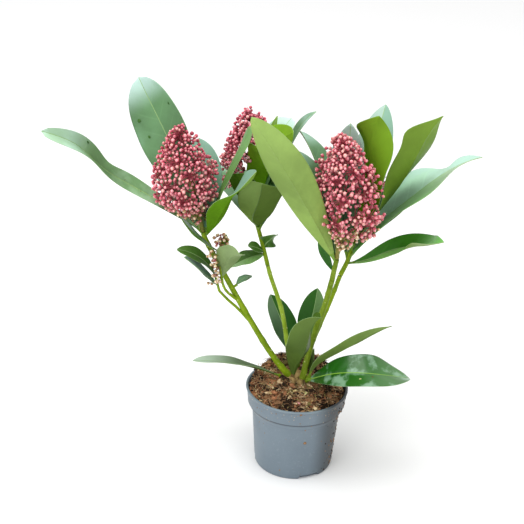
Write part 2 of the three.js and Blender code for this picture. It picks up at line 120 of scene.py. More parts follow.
def frame_about(along):
    """Two directions square to one direction, the first near +X."""
    u = Vector((1, 0, 0)) - along * along.x
    if u.length < 0.3:
        u = Vector((0, 1, 0)) - along * along.y
    u.normalize()
    return u, along.cross(u)


def spokes(along, sides):
    """The angle and direction of each side of a ring about a direction."""
    u, v = frame_about(along)
    return [(side * TURN / sides, swing(u, v, side * TURN / sides)) for side in range(sides)]


class Shapes:
    """The points and faces of many small shapes, joined into one mesh."""

    def __init__(self):
        self.tones, self.points, self.faces, self.face_tones, self.uvs = {}, [], [], [], []

    def add(self, points, faces, tone, uvs=None):
        """tone is one tone's name, or one for each face."""
        first = len(self.points)
        self.points.extend(points)
        self.faces.extend(tuple(first + corner for corner in face) for face in faces)
        names = [tone] * len(faces) if isinstance(tone, str) else tone
        self.face_tones.extend(self.tones.setdefault(name, len(self.tones)) for name in names)
        self.uvs.extend(uvs or [(0.0, 0.0)] * len(points))

    def rings(self, rings, tone, uvs=None):
        """A closed skin over rings that run counter-clockwise about the way they follow."""
        count = len(rings[0])
        last = (len(rings) - 1) * count
        faces = []
        for first in range(0, last, count):
            for side in range(count):
                a, b = first + side, first + (side + 1) % count
                faces.append((a, b, b + count, a + count))
        faces += [tuple(reversed(range(count))), tuple(range(last, last + count))]
        self.add([point for ring in rings for point in ring], faces, tone, uvs)

    def piece(self, name, slot, *nodes):
        """One mesh piece of all the shapes, which stands for these nodes."""
        mesh = bpy.data.meshes.new(name)
        mesh.from_pydata([Vector(point) * MM for point in self.points], [], self.faces)
        for tone in self.tones:
            mesh.materials.append(FINISHES[tone])
        mesh.polygons.foreach_set("material_index", self.face_tones)
        mesh.polygons.foreach_set("use_smooth", [True] * len(self.faces))
        layer = mesh.uv_layers.new(name="UVMap")
        corners = np.zeros(len(mesh.loops), dtype=np.int32)
        mesh.loops.foreach_get("vertex_index", corners)
        layer.data.foreach_set("uv", np.array(self.uvs, dtype=np.float32)[corners].ravel())
        mesh.validate()
        made = bpy.data.objects.new(name, mesh)
        scene.collection.objects.link(made)
        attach(made, "root")
        if nodes:
            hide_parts(*nodes)
        return made


# ---- nodes and node groups --------------------------------------------------------------


def add_node(tree, kind, values, **settings):
    """A node with its settings. Each value is a number or colour, or another node's output."""
    node = tree.nodes.new("ShaderNode" + kind)
    for title, setting in settings.items():
        setattr(node, title, setting)
    for title, value in values.items():
        if isinstance(value, bpy.types.NodeSocket):
            tree.links.new(value, node.inputs[title])
        else:
            node.inputs[title].default_value = value
    return node.outputs


def math_node(tree, operation, *values):
    return add_node(tree, "Math", dict(enumerate(values)), operation=operation)[0]


def range_node(tree, value, low, high, start=0.0, end=1.0):
    limits = {"Value": value, "From Min": low, "From Max": high, "To Min": start, "To Max": end}
    return add_node(tree, "MapRange", limits, interpolation_type="SMOOTHSTEP")["Result"]


def noise_node(tree, scale, detail=4.0):
    place = add_node(tree, "TexCoord", {})["Object"]
    values = {"Vector": place, "Scale": scale, "Detail": detail, "Roughness": 0.55}
    return add_node(tree, "TexNoise", values)["Fac"]


def leaf_axes(tree):
    """X is how far along its leaf a point lies, and Y how far across."""
    return add_node(tree, "SeparateXYZ", {0: add_node(tree, "UVMap", {}, uv_map="UVMap")["UV"]})


def new_group(name, **inputs):
    """An empty shader group with named numbers going in."""
    group = bpy.data.node_groups.new(name, "ShaderNodeTree")
    for title, default in inputs.items():
        title = title.replace("_", " ")
        socket = group.interface.new_socket(title, in_out="INPUT", socket_type="NodeSocketFloat")
        socket.default_value = default
    return group, group.nodes.new("NodeGroupInput").outputs


def give_out(group, **values):
    for title in values:
        group.interface.new_socket(title, in_out="OUTPUT", socket_type="NodeSocketFloat")
    result = group.nodes.new("NodeGroupOutput")
    for title, value in values.items():
        group.links.new(value, result.inputs[title])
    return group


def mottle_group():
    """Cloudy patches, finer flecks and a fine relief, fixed to the object."""
    group, given = new_group("mottle", Patch_Scale=60.0, Fleck_Scale=900.0, Relief_Scale=1500.0)
    patches = noise_node(group, given["Patch Scale"])
    flecks = noise_node(group, given["Fleck Scale"], detail=2.0)
    return give_out(group, Patches=range_node(group, patches, 0.3, 0.7),
                    Flecks=range_node(group, flecks, 0.58, 0.74),
                    Relief=noise_node(group, given["Relief Scale"], detail=3.0))


def vein_group():
    """Side veins that slant from the midrib towards the leaf's edge."""
    group, given = new_group("side_veins", Pairs=9.0, Slant=2.4)
    axes = leaf_axes(group)
    from_midrib = math_node(group, "ABSOLUTE", math_node(group, "SUBTRACT", axes["Y"], 0.5))
    climb = math_node(group, "MULTIPLY", from_midrib, given["Slant"])
    count = math_node(group, "MULTIPLY", axes["X"], given["Pairs"])
    beat = math_node(group, "FRACT", math_node(group, "SUBTRACT", count, climb))
    away = math_node(group, "ABSOLUTE", math_node(group, "SUBTRACT", beat, 0.5))
    fade = range_node(group, from_midrib, 0.18, 0.46, 1.0, 0.0)
    line = range_node(group, away, 0.0, 0.09, 1.0, 0.0)
    pillow = range_node(group, away, 0.0, 0.5)
    return give_out(group, Lines=math_node(group, "MULTIPLY", line, fade),
                    Relief=math_node(group, "MULTIPLY", pillow, fade))


def leaf_run_group():
    """How far a point lies past the place where the tip's colour sets in."""
    group, given = new_group("leaf_run", Start=0.45, End=1.0)
    return give_out(group, Tip=range_node(group, leaf_axes(group)["X"], given["Start"], given["End"]))


MOTTLE = mottle_group()
VEINS = vein_group()
LEAF_RUN = leaf_run_group()


# ---- finishes ---------------------------------------------------------------------------

FINISHES = {}  # every material, by its name
COAT_ROUGHNESS = 0.2
PATCH_SHADE, TIP_PATCH_SHADE = 0.86, 0.93  # how dark a leaf's cloudy patches are
# how much of a leaf's green the painted sheen covers at most
MOST_SHEEN = 0.8
VEIN_DEPTH = 1.2
UNDER_VEINS = 0.05
SKIN_DEPTH, CRUMB_DEPTH, MOULD_DEPTH = 0.04, 0.5, 0.03
# painted shade on the pot's right side, away from the light: where it starts and ends across, how strong,
# how dark
PAINTED_SHADE_FROM, PAINTED_SHADE_TO, MOST_PAINTED_SHADE, PAINTED_SHADE_DARKNESS = 12 * MM, 34 * MM, 0.95, 0.4
CLEAN_ROUGHNESS, DUSTY_ROUGHNESS = 0.42, 0.7


class Finish:
    """One material, with the nodes that its looks are worked out in."""

    def __init__(self, name, **surface):
        self.material = FINISHES[name] = bpy.data.materials.new(name)
        self.material.use_nodes = True
        self.tree = self.material.node_tree
        self.shader = self.tree.nodes["Principled BSDF"].inputs
        for title, value in surface.items():
            self.shader[title.replace("_", " ")].default_value = value

    def group(self, group, **values):
        values = {title.replace("_", " "): value for title, value in values.items()}
        return add_node(self.tree, "Group", values, node_tree=group)

    def blend(self, share, first, second):
        """A colour between two, each a colour or another blend."""
        return add_node(self.tree, "Mix", {"Factor": share, 6: first, 7: second}, data_type="RGBA")[2]

    def paint(self, colour):
        self.tree.links.new(colour, self.shader["Base Color"])

    def relief(self, height, depth, **under):
        """Bumps that stand depth millimetres proud, over other bumps."""
        values = {"Distance": depth * MM, "Height": height, **under}
        normal = add_node(self.tree, "Bump", values)["Normal"]
        self.tree.links.new(normal, self.shader["Normal"])
        return normal

    def speckle(self, colours, scales, flecks=1.0):
        """Two close colours in patches, with flecks of a third. Gives the mottle back too."""
        titles = ("Patch_Scale", "Fleck_Scale", "Relief_Scale")
        mottle = self.group(MOTTLE, **dict(zip(titles, scales)))
        main, shade, fleck = (linear(colour) for colour in colours)
        few = mottle["Flecks"]
        if flecks < 1:
            few = math_node(self.tree, "MULTIPLY", few, flecks)
        return self.blend(few, self.blend(mottle["Patches"], main, shade), fleck), mottle


def leaf_side(name, base, tip, gloss=0.0, roughness=0.45, start=0.45, veins=0.1, shine=0.25,
              painted_sheen=None, sheen_from=0.5, sheen_scale=24.0):
    """One side of a leaf: a colour at its base that turns into another towards its tip, the tip's paleness
    partly the leaf's own and partly painted sheen.

    start is how far along the tip's colour sets in, and painted_sheen the colour of pale patches
    of painted reflection on it.
    """
    finish = Finish(name, Roughness=roughness, Specular_IOR_Level=shine, Coat_Weight=gloss,
                    Coat_Roughness=COAT_ROUGHNESS)
    mottle = finish.group(MOTTLE, Patch_Scale=34.0, Relief_Scale=500.0)
    lines = finish.group(VEINS, Pairs=9.0, Slant=2.4)
    run = finish.group(LEAF_RUN, Start=start, End=1.0)["Tip"]
    light = finish.blend(run, linear(base), linear(tip))
    dark = finish.blend(run, linear(base, PATCH_SHADE), linear(tip, TIP_PATCH_SHADE))
    green = finish.blend(mottle["Patches"], light, dark)
    # pale patches of painted sheen: the bright sky's reflection, painted into the colour
    if painted_sheen:
        sheen_noise = finish.group(MOTTLE, Patch_Scale=sheen_scale)["Patches"]
        sheen_share = range_node(finish.tree, sheen_noise, sheen_from, 1.0, 0.0, MOST_SHEEN)
        green = finish.blend(sheen_share, green, linear(painted_sheen))
    faint = math_node(finish.tree, "MULTIPLY", lines["Lines"], veins)
    finish.paint(finish.blend(faint, green, linear(base, share=1.25, lift=12)))
    skin = finish.relief(mottle["Relief"], SKIN_DEPTH)
    finish.relief(lines["Relief"], VEIN_DEPTH * veins, Normal=skin)


def waxy(name, main, shade, fleck, roughness, gloss=0.0, scale=160.0, depth=SKIN_DEPTH, warm=0.0,
         shine=0.25):
    """A plain living surface: two close colours in patches, with flecks of a third."""
    finish = Finish(name, Roughness=roughness, Specular_IOR_Level=shine, Coat_Weight=gloss,
                    Coat_Roughness=COAT_ROUGHNESS, Subsurface_Weight=warm, Subsurface_Scale=0.5 * MM)
    colour, mottle = finish.speckle((main, shade, fleck), (scale, scale * 6, scale * 9), flecks=0.45)
    finish.paint(colour)
    finish.relief(mottle["Relief"], depth)


def earthy(name, *colours):
    """Dry, dull and crumbly."""
    finish = Finish(name, Roughness=0.95, Specular_IOR_Level=0.15)
    colour, mottle = finish.speckle(colours, (260.0, 900.0, 1300.0))
    finish.paint(colour)
    finish.relief(mottle["Relief"], CRUMB_DEPTH)


def pot_plastic(name, main, shade, dust):
    """Thin moulded plastic with a dull film of dust, and painted shade that darkens one side."""
    finish = Finish(name)
    dusty, mottle = finish.speckle((main, shade, dust), (22.0, 520.0, 2400.0), flecks=0.35)
    place = add_node(finish.tree, "TexCoord", {})["Object"]
    aside = add_node(finish.tree, "SeparateXYZ", {0: place})["X"]
    # painted shade: the plastic darkens towards the pot's right side
    painted_shade = range_node(finish.tree, aside, PAINTED_SHADE_FROM, PAINTED_SHADE_TO, 0.0, MOST_PAINTED_SHADE)
    finish.paint(finish.blend(painted_shade, dusty, linear(shade, PAINTED_SHADE_DARKNESS)))
    dull = range_node(finish.tree, mottle["Flecks"], 0.0, 1.0, CLEAN_ROUGHNESS, DUSTY_ROUGHNESS)
    finish.tree.links.new(dull, finish.shader["Roughness"])
    finish.relief(mottle["Relief"], MOULD_DEPTH)


# Upper sides. Their paler tips are partly the leaves' own colour and partly painted sheen, the bright sky's
# reflection on the glossy leaf.
leaf_side("upper_fresh", (96, 138, 92), (184, 214, 204), start=0.8, painted_sheen=(108, 148, 112), sheen_from=0.35)
leaf_side("upper_silver", (116, 156, 104), (198, 230, 214), start=0.7, painted_sheen=(150, 184, 146))
# upper_sheen is pale all over: painted sheen on a leaf's upper side
leaf_side("upper_sheen", (152, 208, 162), (176, 204, 188), start=0.3, painted_sheen=(168, 204, 188), sheen_from=0.6)
leaf_side("upper_glossy", (30, 96, 14), (76, 132, 62), gloss=0.55, roughness=0.36, veins=0.2,
          painted_sheen=(138, 176, 146), sheen_from=0.55, sheen_scale=62.0)
leaf_side("upper_olive", (84, 116, 40), (78, 110, 40), shine=0.0)
for tone, base, tip, start in (
    ("mint", (92, 140, 106), (132, 172, 150), 0.3),
    ("glade", (120, 188, 92), (180, 202, 172), 0.4),
    ("low", (84, 110, 66), (184, 206, 184), 0.4),
    ("pale", (84, 118, 84), (170, 198, 184), 0.45),
    ("lit", (150, 206, 116), (176, 220, 150), 0.45),
    ("leaf", (76, 122, 40), (94, 138, 60), 0.45),
    ("leek", (92, 134, 66), (110, 150, 90), 0.45),
    ("deep", (34, 92, 12), (50, 108, 28), 0.45),
    ("fir", (58, 126, 24), (112, 176, 90), 0.45),
    ("bright", (92, 136, 30), (120, 160, 60), 0.45),
    ("shady", (62, 92, 34), (76, 108, 46), 0.45),
    ("dusky", (72, 110, 66), (112, 148, 108), 0.45),
):
    leaf_side("upper_" + tone, base, tip, start=start)

# Under sides: the leaves' own yellow-green, lightened further with painted light for the light that shines
# through them.
leaf_side("under_lime", (144, 174, 88), (162, 194, 104), shine=0.1, veins=0.03)
for tone, base, tip, shine in (
    ("bright", (88, 130, 14), (120, 158, 44), 0.0),
    ("meadow", (92, 138, 26), (126, 160, 70), 0.0),
    ("sunny", (122, 180, 28), (126, 166, 46), 0.0),
    ("shady", (62, 100, 20), (72, 108, 28), 0.0),
    ("grass", (108, 134, 64), (120, 146, 80), 0.0),
    ("fern", (80, 104, 42), (94, 118, 54), 0.0),
    ("olive", (74, 98, 36), (98, 124, 56), 0.1),
    ("sage", (136, 160, 104), (146, 170, 114), 0.1),
    ("moss", (102, 134, 40), (122, 156, 52), 0.1),
):
    leaf_side("under_" + tone, base, tip, shine=shine, veins=UNDER_VEINS)

waxy("midrib", (138, 172, 110), (126, 160, 98), (160, 190, 130), 0.45, gloss=0.2)
waxy("midrib_bright", (132, 180, 60), (120, 168, 50), (160, 196, 90), 0.4, gloss=0.3)
waxy("midrib_dim", (84, 112, 48), (74, 100, 42), (104, 130, 66), 0.5)
waxy("rim", (146, 178, 116), (160, 190, 132), (178, 202, 150), 0.5)
waxy("petiole", (122, 160, 46), (106, 144, 42), (146, 176, 76), 0.45, gloss=0.2)
waxy("petiole_red", (118, 74, 50), (96, 82, 40), (146, 110, 70), 0.5)
waxy("blemish", (60, 104, 36), (44, 84, 30), (96, 128, 60), 0.6)
waxy("blemish_brown", (96, 62, 34), (120, 84, 50), (60, 40, 26), 0.8)
waxy("scar", (206, 212, 150), (186, 190, 120), (226, 226, 186), 0.7)
waxy("woody", (176, 150, 98), (140, 112, 70), (206, 186, 140), 0.85, depth=0.3)
waxy("stalk_wine", (176, 80, 90), (140, 54, 66), (198, 120, 108), 0.5)
waxy("stalk_green", (134, 142, 60), (128, 110, 56), (158, 164, 90), 0.5)
waxy("scale_brown", (88, 54, 40), (66, 40, 30), (124, 84, 60), 0.7)
for name, colours in {
    "stem": ((138, 164, 26), (108, 138, 12), (164, 184, 70)),
    # a lighter copy of the stem colour: painted light on the middle stem, which the leaves above shade
    "stem_lit": ((162, 190, 66), (134, 162, 38), (184, 204, 104)),
    "stem_dark": ((124, 148, 36), (96, 122, 14), (146, 164, 70)),
}.items():
    waxy(name, *colours, 0.5, scale=90.0, shine=0.15)
# Each bud has its own colour on its sides, and a paler top that is a painted highlight.
for name, colours in {
    "bud_rose_side": ((214, 104, 120), (194, 84, 102), (230, 134, 144)),
    "bud_rose_cap": ((242, 168, 172), (232, 146, 156), (252, 204, 200)),
    "bud_wine_side": ((172, 66, 86), (148, 52, 70), (192, 92, 106)),
    "bud_wine_cap": ((212, 118, 130), (196, 98, 112), (230, 150, 154)),
    "bud_blush_side": ((210, 128, 128), (190, 106, 110), (224, 154, 146)),
    "bud_blush_cap": ((242, 184, 176), (234, 166, 162), (250, 208, 194)),
    "bud_cream_side": ((206, 170, 126), (190, 140, 110), (222, 196, 150)),
    "bud_cream_cap": ((244, 230, 196), (236, 212, 176), (250, 240, 216)),
    "bud_brown_side": ((112, 74, 58), (88, 54, 44), (150, 112, 84)),
    "bud_brown_cap": ((148, 104, 80), (120, 80, 62), (180, 140, 108)),
}.items():
    waxy(name, *colours, 0.4, gloss=0.3, scale=320.0, warm=0.1)
earthy("peat_dark", (34, 25, 19), (58, 42, 30), (104, 80, 58))
earthy("peat_brown", (166, 130, 94), (124, 90, 62), (196, 158, 118))
earthy("peat_rust", (180, 124, 88), (142, 92, 62), (206, 158, 118))
earthy("peat_tan", (232, 208, 166), (196, 166, 124), (240, 222, 186))
earthy("straw", (212, 188, 130), (186, 160, 104), (230, 212, 164))
earthy("moss", (132, 120, 74), (108, 98, 58), (158, 148, 98))
pot_plastic("pot", (112, 127, 138), (102, 117, 128), (146, 156, 162))
# a darker copy of the pot's plastic: painted shade in the crease under the collar
pot_plastic("pot_crease", (72, 82, 92), (62, 72, 82), (96, 106, 112))
# a lighter copy of the pot's plastic: painted highlight on the lip, which faces the light
pot_plastic("pot_lip", (122, 137, 146), (112, 127, 137), (152, 162, 167))


# ---- stems ------------------------------------------------------------------------------

PEAT_TOP = 85.0
FOOT_HEIGHT = 85.3
FLARE_FADE = 9  # how fast a foot's flare dies away up the stem
KNOT_SWELL, KNOT_SPREAD = 0.28, 1.3  # the second in rings
BARK_RIDGES, BARK_GRAIN, BARK_STRETCH = 0.05, 2.2, 0.05
PORE_DOME = ((-0.3, 0.9), (0.25, 1.0), (0.75, 0.7), (1.0, 0.25))  # height and radius, in shares
PORE_SIDES, PORE_WOBBLE = 7, 0.25
PORE_SPAN, PORE_SIZES, PORE_SINK = (0.04, 0.97), (0.3, 0.75), 0.98

STEMS = {  # foot and tip are radii, and knots say how far up the old leaf joints are
    "stem_left": dict(
        path=[(-7.5, 0, FOOT_HEIGHT), (-22, -2, 105), (-43.4, -6, 142.5), (-66.2, -10, 186.5),
              (-79.5, -13.4, 213.5)],
        foot=2.6, tip=2.2, flare=0.8, tone="stem", knots=(0.13, 0.37, 0.56, 0.83)),
    "stem_middle": dict(
        path=[(-3, 6, FOOT_HEIGHT), (-10, 10, 111), (-16.6, 15, 142), (-28, 21, 173), (-30.5, 22.6, 181)],
        foot=2, tip=1.8, flare=0.5, tone="stem_lit", knots=(0.3, 0.52, 0.8)),
    "stem_right": dict(
        path=[(4.5, -4, FOOT_HEIGHT), (7, -4.5, 104), (13.3, -6, 137.5), (19.3, -7.5, 162),
              (23.6, -9.6, 186)],
        foot=2.7, tip=2.3, flare=0.6, tone="stem_dark", knots=(0.22, 0.5, 0.86)),
    "stem_rear": dict(
        path=[(5.5, 4, FOOT_HEIGHT), (10.8, 6, 114), (18.4, 7.6, 138.4), (25, 9.2, 158), (31.5, 12, 179.5)],
        foot=2.1, tip=1.9, flare=0.3, tone="stem", knots=(0.3, 0.62, 0.85)),
}
TWIGS = {
    "twig_outer": dict(
        path=[(-41, -6, 138), (-54.5, -9, 155), (-63.5, -12, 165), (-70, -13.6, 173)], foot=1.3, tip=1.1),
    "twig_inner": dict(
        path=[(-54, -8, 162), (-59, -12.5, 168), (-65, -16.5, 176), (-67.4, -17.6, 182)], foot=1.3, tip=1.1),
}


def limb_radius(limb, t):
    return lerp(limb["foot"], limb["tip"], t) + limb.get("flare", 0.0) * math.exp(-t * FLARE_FADE)


def limb_rings(limb, steps, sides):
    """Rings of a tapering limb with long shallow ridges and a swelling at each knot."""
    rings = []
    for step in range(steps + 1):
        t = step / steps
        centre = curve_point(limb["path"], t)
        radius = limb_radius(limb, t)
        radius += sum(KNOT_SWELL * bell((t - knot) * steps, KNOT_SPREAD) for knot in limb.get("knots", ()))
        ring = []
        for _, out in spokes(curve_direction(limb["path"], t), sides):
            ridge = noise.noise(out * BARK_GRAIN + UP * (centre.z * BARK_STRETCH))
            ring.append(centre + out * radius * (1 + BARK_RIDGES * ridge))
        rings.append(ring)
    return rings


def pore(shapes, place, out, size, tone, flat=0.45):
    """A small domed dot that sits on a surface, such as a pore or a crumb of dirt."""
    rings = []
    for height, share in PORE_DOME:
        centre = place + out * size * flat * height
        ring = []
        for angle, way in spokes(out.normalized(), PORE_SIDES):
            wobble = 1 + PORE_WOBBLE * noise.noise(place * 0.7 + Vector((angle, share, 0)))
            ring.append(centre + way * size * share * wobble)
        rings.append(ring)
    shapes.rings(rings, tone)


def make_limb(name, limb, steps, sides, pores, seed):
    """A stem or twig with pale pores. A stem has a woody foot that is cut flat on the peat."""
    shapes = Shapes()
    rings = limb_rings(limb, steps, sides)
    tones = [limb.get("tone", "stem")] * (steps * sides + 2)
    if name in STEMS:
        rings[0] = [Vector((p.x, p.y, FOOT_HEIGHT)) for p in rings[0]]
        tones[:sides] = ["woody"] * sides
        tones[-2] = "woody"
    shapes.rings(rings, tones)
    roll = random.Random(seed)
    for _ in range(pores):
        t, angle = roll.uniform(*PORE_SPAN), roll.uniform(0, TURN)
        out = swing(*frame_about(curve_direction(limb["path"], t)), angle)
        place = curve_point(limb["path"], t) + out * limb_radius(limb, t) * PORE_SINK
        pore(shapes, place, out, roll.uniform(*PORE_SIZES), "scar")
    shapes.piece(name + "_bark", "stem", name)


# ---- leaves -----------------------------------------------------------------------------

BLADE_STEPS = 44
BLADE_SHARES = (0.2, 0.36, 0.52, 0.68, 0.82, 0.93, 1.0)  # of the half width, beside the midrib
LEAF_WIDEST = 0.605
LEAF_BASE_TAPER = 1.15
LEAF_FOLD = 12.0
LEAF_WAVE = 0.035
LEAF_WAVES = 2.6  # along one edge
EDGE_LIFT = 1.2  # how much more a blade bends towards its edge
PETIOLE_WIDTH = 2.6
PETIOLE_END = 0.06  # share of the leaf's length
PETIOLE_THICKNESS = 1.7
TIP_WIDTH = 0.9
BLADE_THICKNESS = 0.55
MARGIN_THICKNESS = 0.22
MIDRIB_WIDTH, MIDRIB_TIP_WIDTH = 1.1, 0.5
MIDRIB_RIDGE = 0.45  # how far it stands out below
MIDRIB_GROOVE = 0.2  # how far it sinks in above
RIB_COLUMNS = 4
NOTCH_SPAN = 0.08  # of the leaf's length
BENDS = ("arch", "sweep", "bow", "sway", "roll", "twist")


def half_width(t, width, widest):
    tip_taper = LEAF_BASE_TAPER * (1 - widest) / widest
    from_root = (t / widest) ** LEAF_BASE_TAPER
    to_tip = ((1 - t) / (1 - widest)) ** tip_taper
    narrowest = lerp(min(PETIOLE_WIDTH, width / 4), TIP_WIDTH, t)
    return max(width * from_root * to_tip, narrowest) / 2


class Blade:
    """A leaf's surface, from stations that each hold t, a middle and three directions."""

    def __init__(self, root, tip, width, phase, widest=LEAF_WIDEST, fold=LEAF_FOLD, notch=None, **bends):
        self.width, self.widest, self.notch, self.phase = width, widest, notch, phase
        self.fold = math.radians(fold)
        arch, sweep, bow, sway, roll, twist = (math.radians(bends.get(key, 0)) for key in BENDS)
        chord = tip - root
        bearing = math.atan2(chord.y, chord.x)
        rise = math.asin(chord.z / chord.length)
        place, previous, stations = Vector((0, 0, 0)), None, []
        for step in range(BLADE_STEPS + 1):
            t = step / BLADE_STEPS
            double = math.sin(TURN * t)
            climb = rise + arch * (0.5 - t) + bow * double
            level = polar(1, bearing + sweep * (t - 0.5) + sway * double)
            along, up = swing(level, UP, climb), swing(UP, -level, climb)
            across = swing(along.cross(up), up, roll + twist * (t - 0.5))
            if previous is not None:
                place = place + (previous + along) * 0.5 / BLADE_STEPS
            previous = along
            stations.append((t, place, across, across.cross(along)))
        stretch = chord.length / place.length
        miss = chord - place * stretch
        self.stations = [(t, root + at * stretch + miss * t, *axes) for t, at, *axes in stations]

    def side_share(self, t, side):
        """How much of its width one side keeps, where its edge has a dent or a lobe."""
        if not self.notch or self.notch[2] != side:
            return 1.0
        at, depth, _ = self.notch
        return 1 - depth * bell(t - at, NOTCH_SPAN)

    def ring(self, t, middle, across, face):
        """The points across the upper side and back under it, and where each lies on the leaf."""
        half = half_width(t, self.width, self.widest)
        blade = smooth(0.0, 2 * PETIOLE_END, t)
        body = lerp(PETIOLE_THICKNESS, BLADE_THICKNESS, blade)
        rib = min(lerp(MIDRIB_WIDTH, MIDRIB_TIP_WIDTH, t) / 2, half * 0.4) / half
        edges = [0.0, rib * 0.55, rib] + [lerp(rib, 1, share) for share in BLADE_SHARES]
        upper, lower, places = {}, {}, {}
        for index, share in enumerate(edges):
            groove = ridge = 0
            if index < 2:
                groove = MIDRIB_GROOVE * (1 - index * 0.4) * blade * (1 - t)
                ridge = MIDRIB_RIDGE * (1 - index * 0.25) * blade * (1 - 0.8 * t)
            thick = lerp(body, MARGIN_THICKNESS * blade + body * (1 - blade), share**3) / 2
            round_off = (1 - blade) * 0.5 * body * (1 - math.sqrt(max(0, 1 - share**2)))
            for side in (-1, 1):
                swell = LEAF_WAVE * half * math.sin(TURN * (LEAF_WAVES * t + self.phase) + side * 1.1)
                wide = half * self.side_share(t, side)
                lift = wide * math.sin(self.fold) * share**EDGE_LIFT + swell * blade * share**2
                point = middle + across * (wide * math.cos(self.fold) * share * side) + face * lift
                upper[side * index] = point + face * (thick - groove - round_off)
                lower[side * index] = point - face * (thick + ridge - round_off)
                places[side * index] = (t, 0.5 + 0.5 * side * share)
        there = sorted(upper)
        back = there[::-1]
        return [upper[i] for i in there] + [lower[i] for i in back], [places[i] for i in there + back]

    def add_to(self, shapes, upper, under, right_upper=None, right_under=None, rib="midrib",
               rib_under=None, petiole="petiole"):
        # the right half can take a tone of its own: painted light and shade, where one half catches more
        # light than the other
        above = (upper, rib, right_upper or upper)
        below = (right_under or under, rib_under or under, under)
        tones = []
        for left, middle, right in (above, below):
            tones += [left] * len(BLADE_SHARES) + [middle] * RIB_COLUMNS
            tones += [right] * len(BLADE_SHARES) + ["rim"]
        stalk_steps = round(PETIOLE_END * BLADE_STEPS)
        tones = [petiole] * stalk_steps * len(tones) + tones * (BLADE_STEPS - stalk_steps)
        rings, uvs = [], []
        for station in self.stations:
            ring, places = self.ring(*station)
            rings.append(ring)
            uvs += places
        shapes.rings(rings, tones + [petiole, "rim"], uvs)

    def spot(self, t, s):
        """The place on the upper side that lies t along and s across, and its normal."""
        _, middle, across, face = self.stations[int(round(t * BLADE_STEPS))]
        half = half_width(t, self.width, self.widest)
        lift = half * math.sin(self.fold) * abs(s) ** EDGE_LIFT + BLADE_THICKNESS / 2
        return middle + across * (half * math.cos(self.fold) * s) + face * lift, face


# the right halves' tones paint light and shade that differ from the left halves'
LOOKS = ("right_upper", "right_under", "rib", "rib_under", "petiole")
MASSES = {}


def leaf(at, tip, width, upper="upper_fresh", under="under_olive", **more):
    """A leaf rooted at a share of its stem's height, the place it ends, and how it is bent.

    bow and sway bend it twice, up and sideways. notch is a dent or lobe in one side's edge:
    how far along, how deep, and on which side.
    """
    looks = {key: more.pop(key) for key in LOOKS if key in more}
    return at, Vector(tip), dict(width=width, **more), dict(upper=upper, under=under, **looks)


def mass(name, path, foot, tip, *leaves, bark="stem"):
    """A mass of leaves on a short stem of its own, whose radii are foot and tip."""
    MASSES[name] = dict(path=path, foot=foot, tip=tip, leaves=leaves, bark=bark)


mass("leaves_left", [(-79.7, -13.5, 214), (-82.4, -14.2, 220), (-85, -15, 227)], 2.4, 2.0,
     leaf(0.9, (-142, 31, 342), 47, arch=8, sweep=-3, roll=74, twist=-11, fold=14, bow=4, widest=0.66),
     leaf(0.7, (-208, -47, 321), 20, "upper_silver", "under_lime", arch=47, sweep=-44, roll=49,
          twist=27, fold=30, bow=-23, sway=-50, widest=0.7, notch=(0.59, 0.29, 1)),
     leaf(0.75, (-43, -61, 301), 34, "upper_mint", "under_meadow", arch=-15, sweep=-38, roll=-15,
          twist=-60, fold=18, bow=13, sway=-10, widest=0.59),
     leaf(0.9, (-92, 30, 292), 34, "upper_mint", arch=20),
     leaf(0.8, (-50, 4, 314), 18, under="upper_leek", arch=-6, sweep=8, roll=-160, twist=-39, bow=7,
          sway=6, widest=0.69),
     leaf(0.6, (-128, 62, 262), 36, arch=30),
     leaf(0.5, (-108, 76, 238), 34, "upper_dusky", arch=30))
mass("leaves_outer", [(-70.3, -13.7, 173.4), (-72, -14.4, 180), (-74, -15.4, 188)], 1.2, 1.0,
     leaf(0.9, (-106, -18, 212), 15, "upper_leaf", arch=65, roll=18, twist=19),
     leaf(0.4, (-99, -30, 211), 16, "upper_mint", arch=5, sweep=8, roll=20, twist=-22))
mass("leaves_inner", [(-67.6, -17.7, 182.4), (-69, -18, 192), (-70, -19, 214)], 1.2, 1.0,
     leaf(0.25, (-54, -40, 221), 24, under="under_sage", arch=52, sweep=-20, roll=35, twist=20, fold=29,
          bow=4, sway=-15, widest=0.62),
     leaf(0.55, (-66, -10, 224), 9, "under_bright", "under_bright"),
     leaf(0.95, (-102, -33, 248), 12, "upper_leaf", right_upper="upper_pale", arch=-25, roll=14,
          twist=25, fold=6))
mass("leaves_left_low", [(-60.4, -9, 175), (-58, -8.4, 175.6), (-55.5, -8, 177)], 1.2, 1.0,
     leaf(0.8, (-47, -2, 182), 9, arch=40),
     leaf(0.7, (-44, 8, 178), 9, "upper_dusky", arch=30))
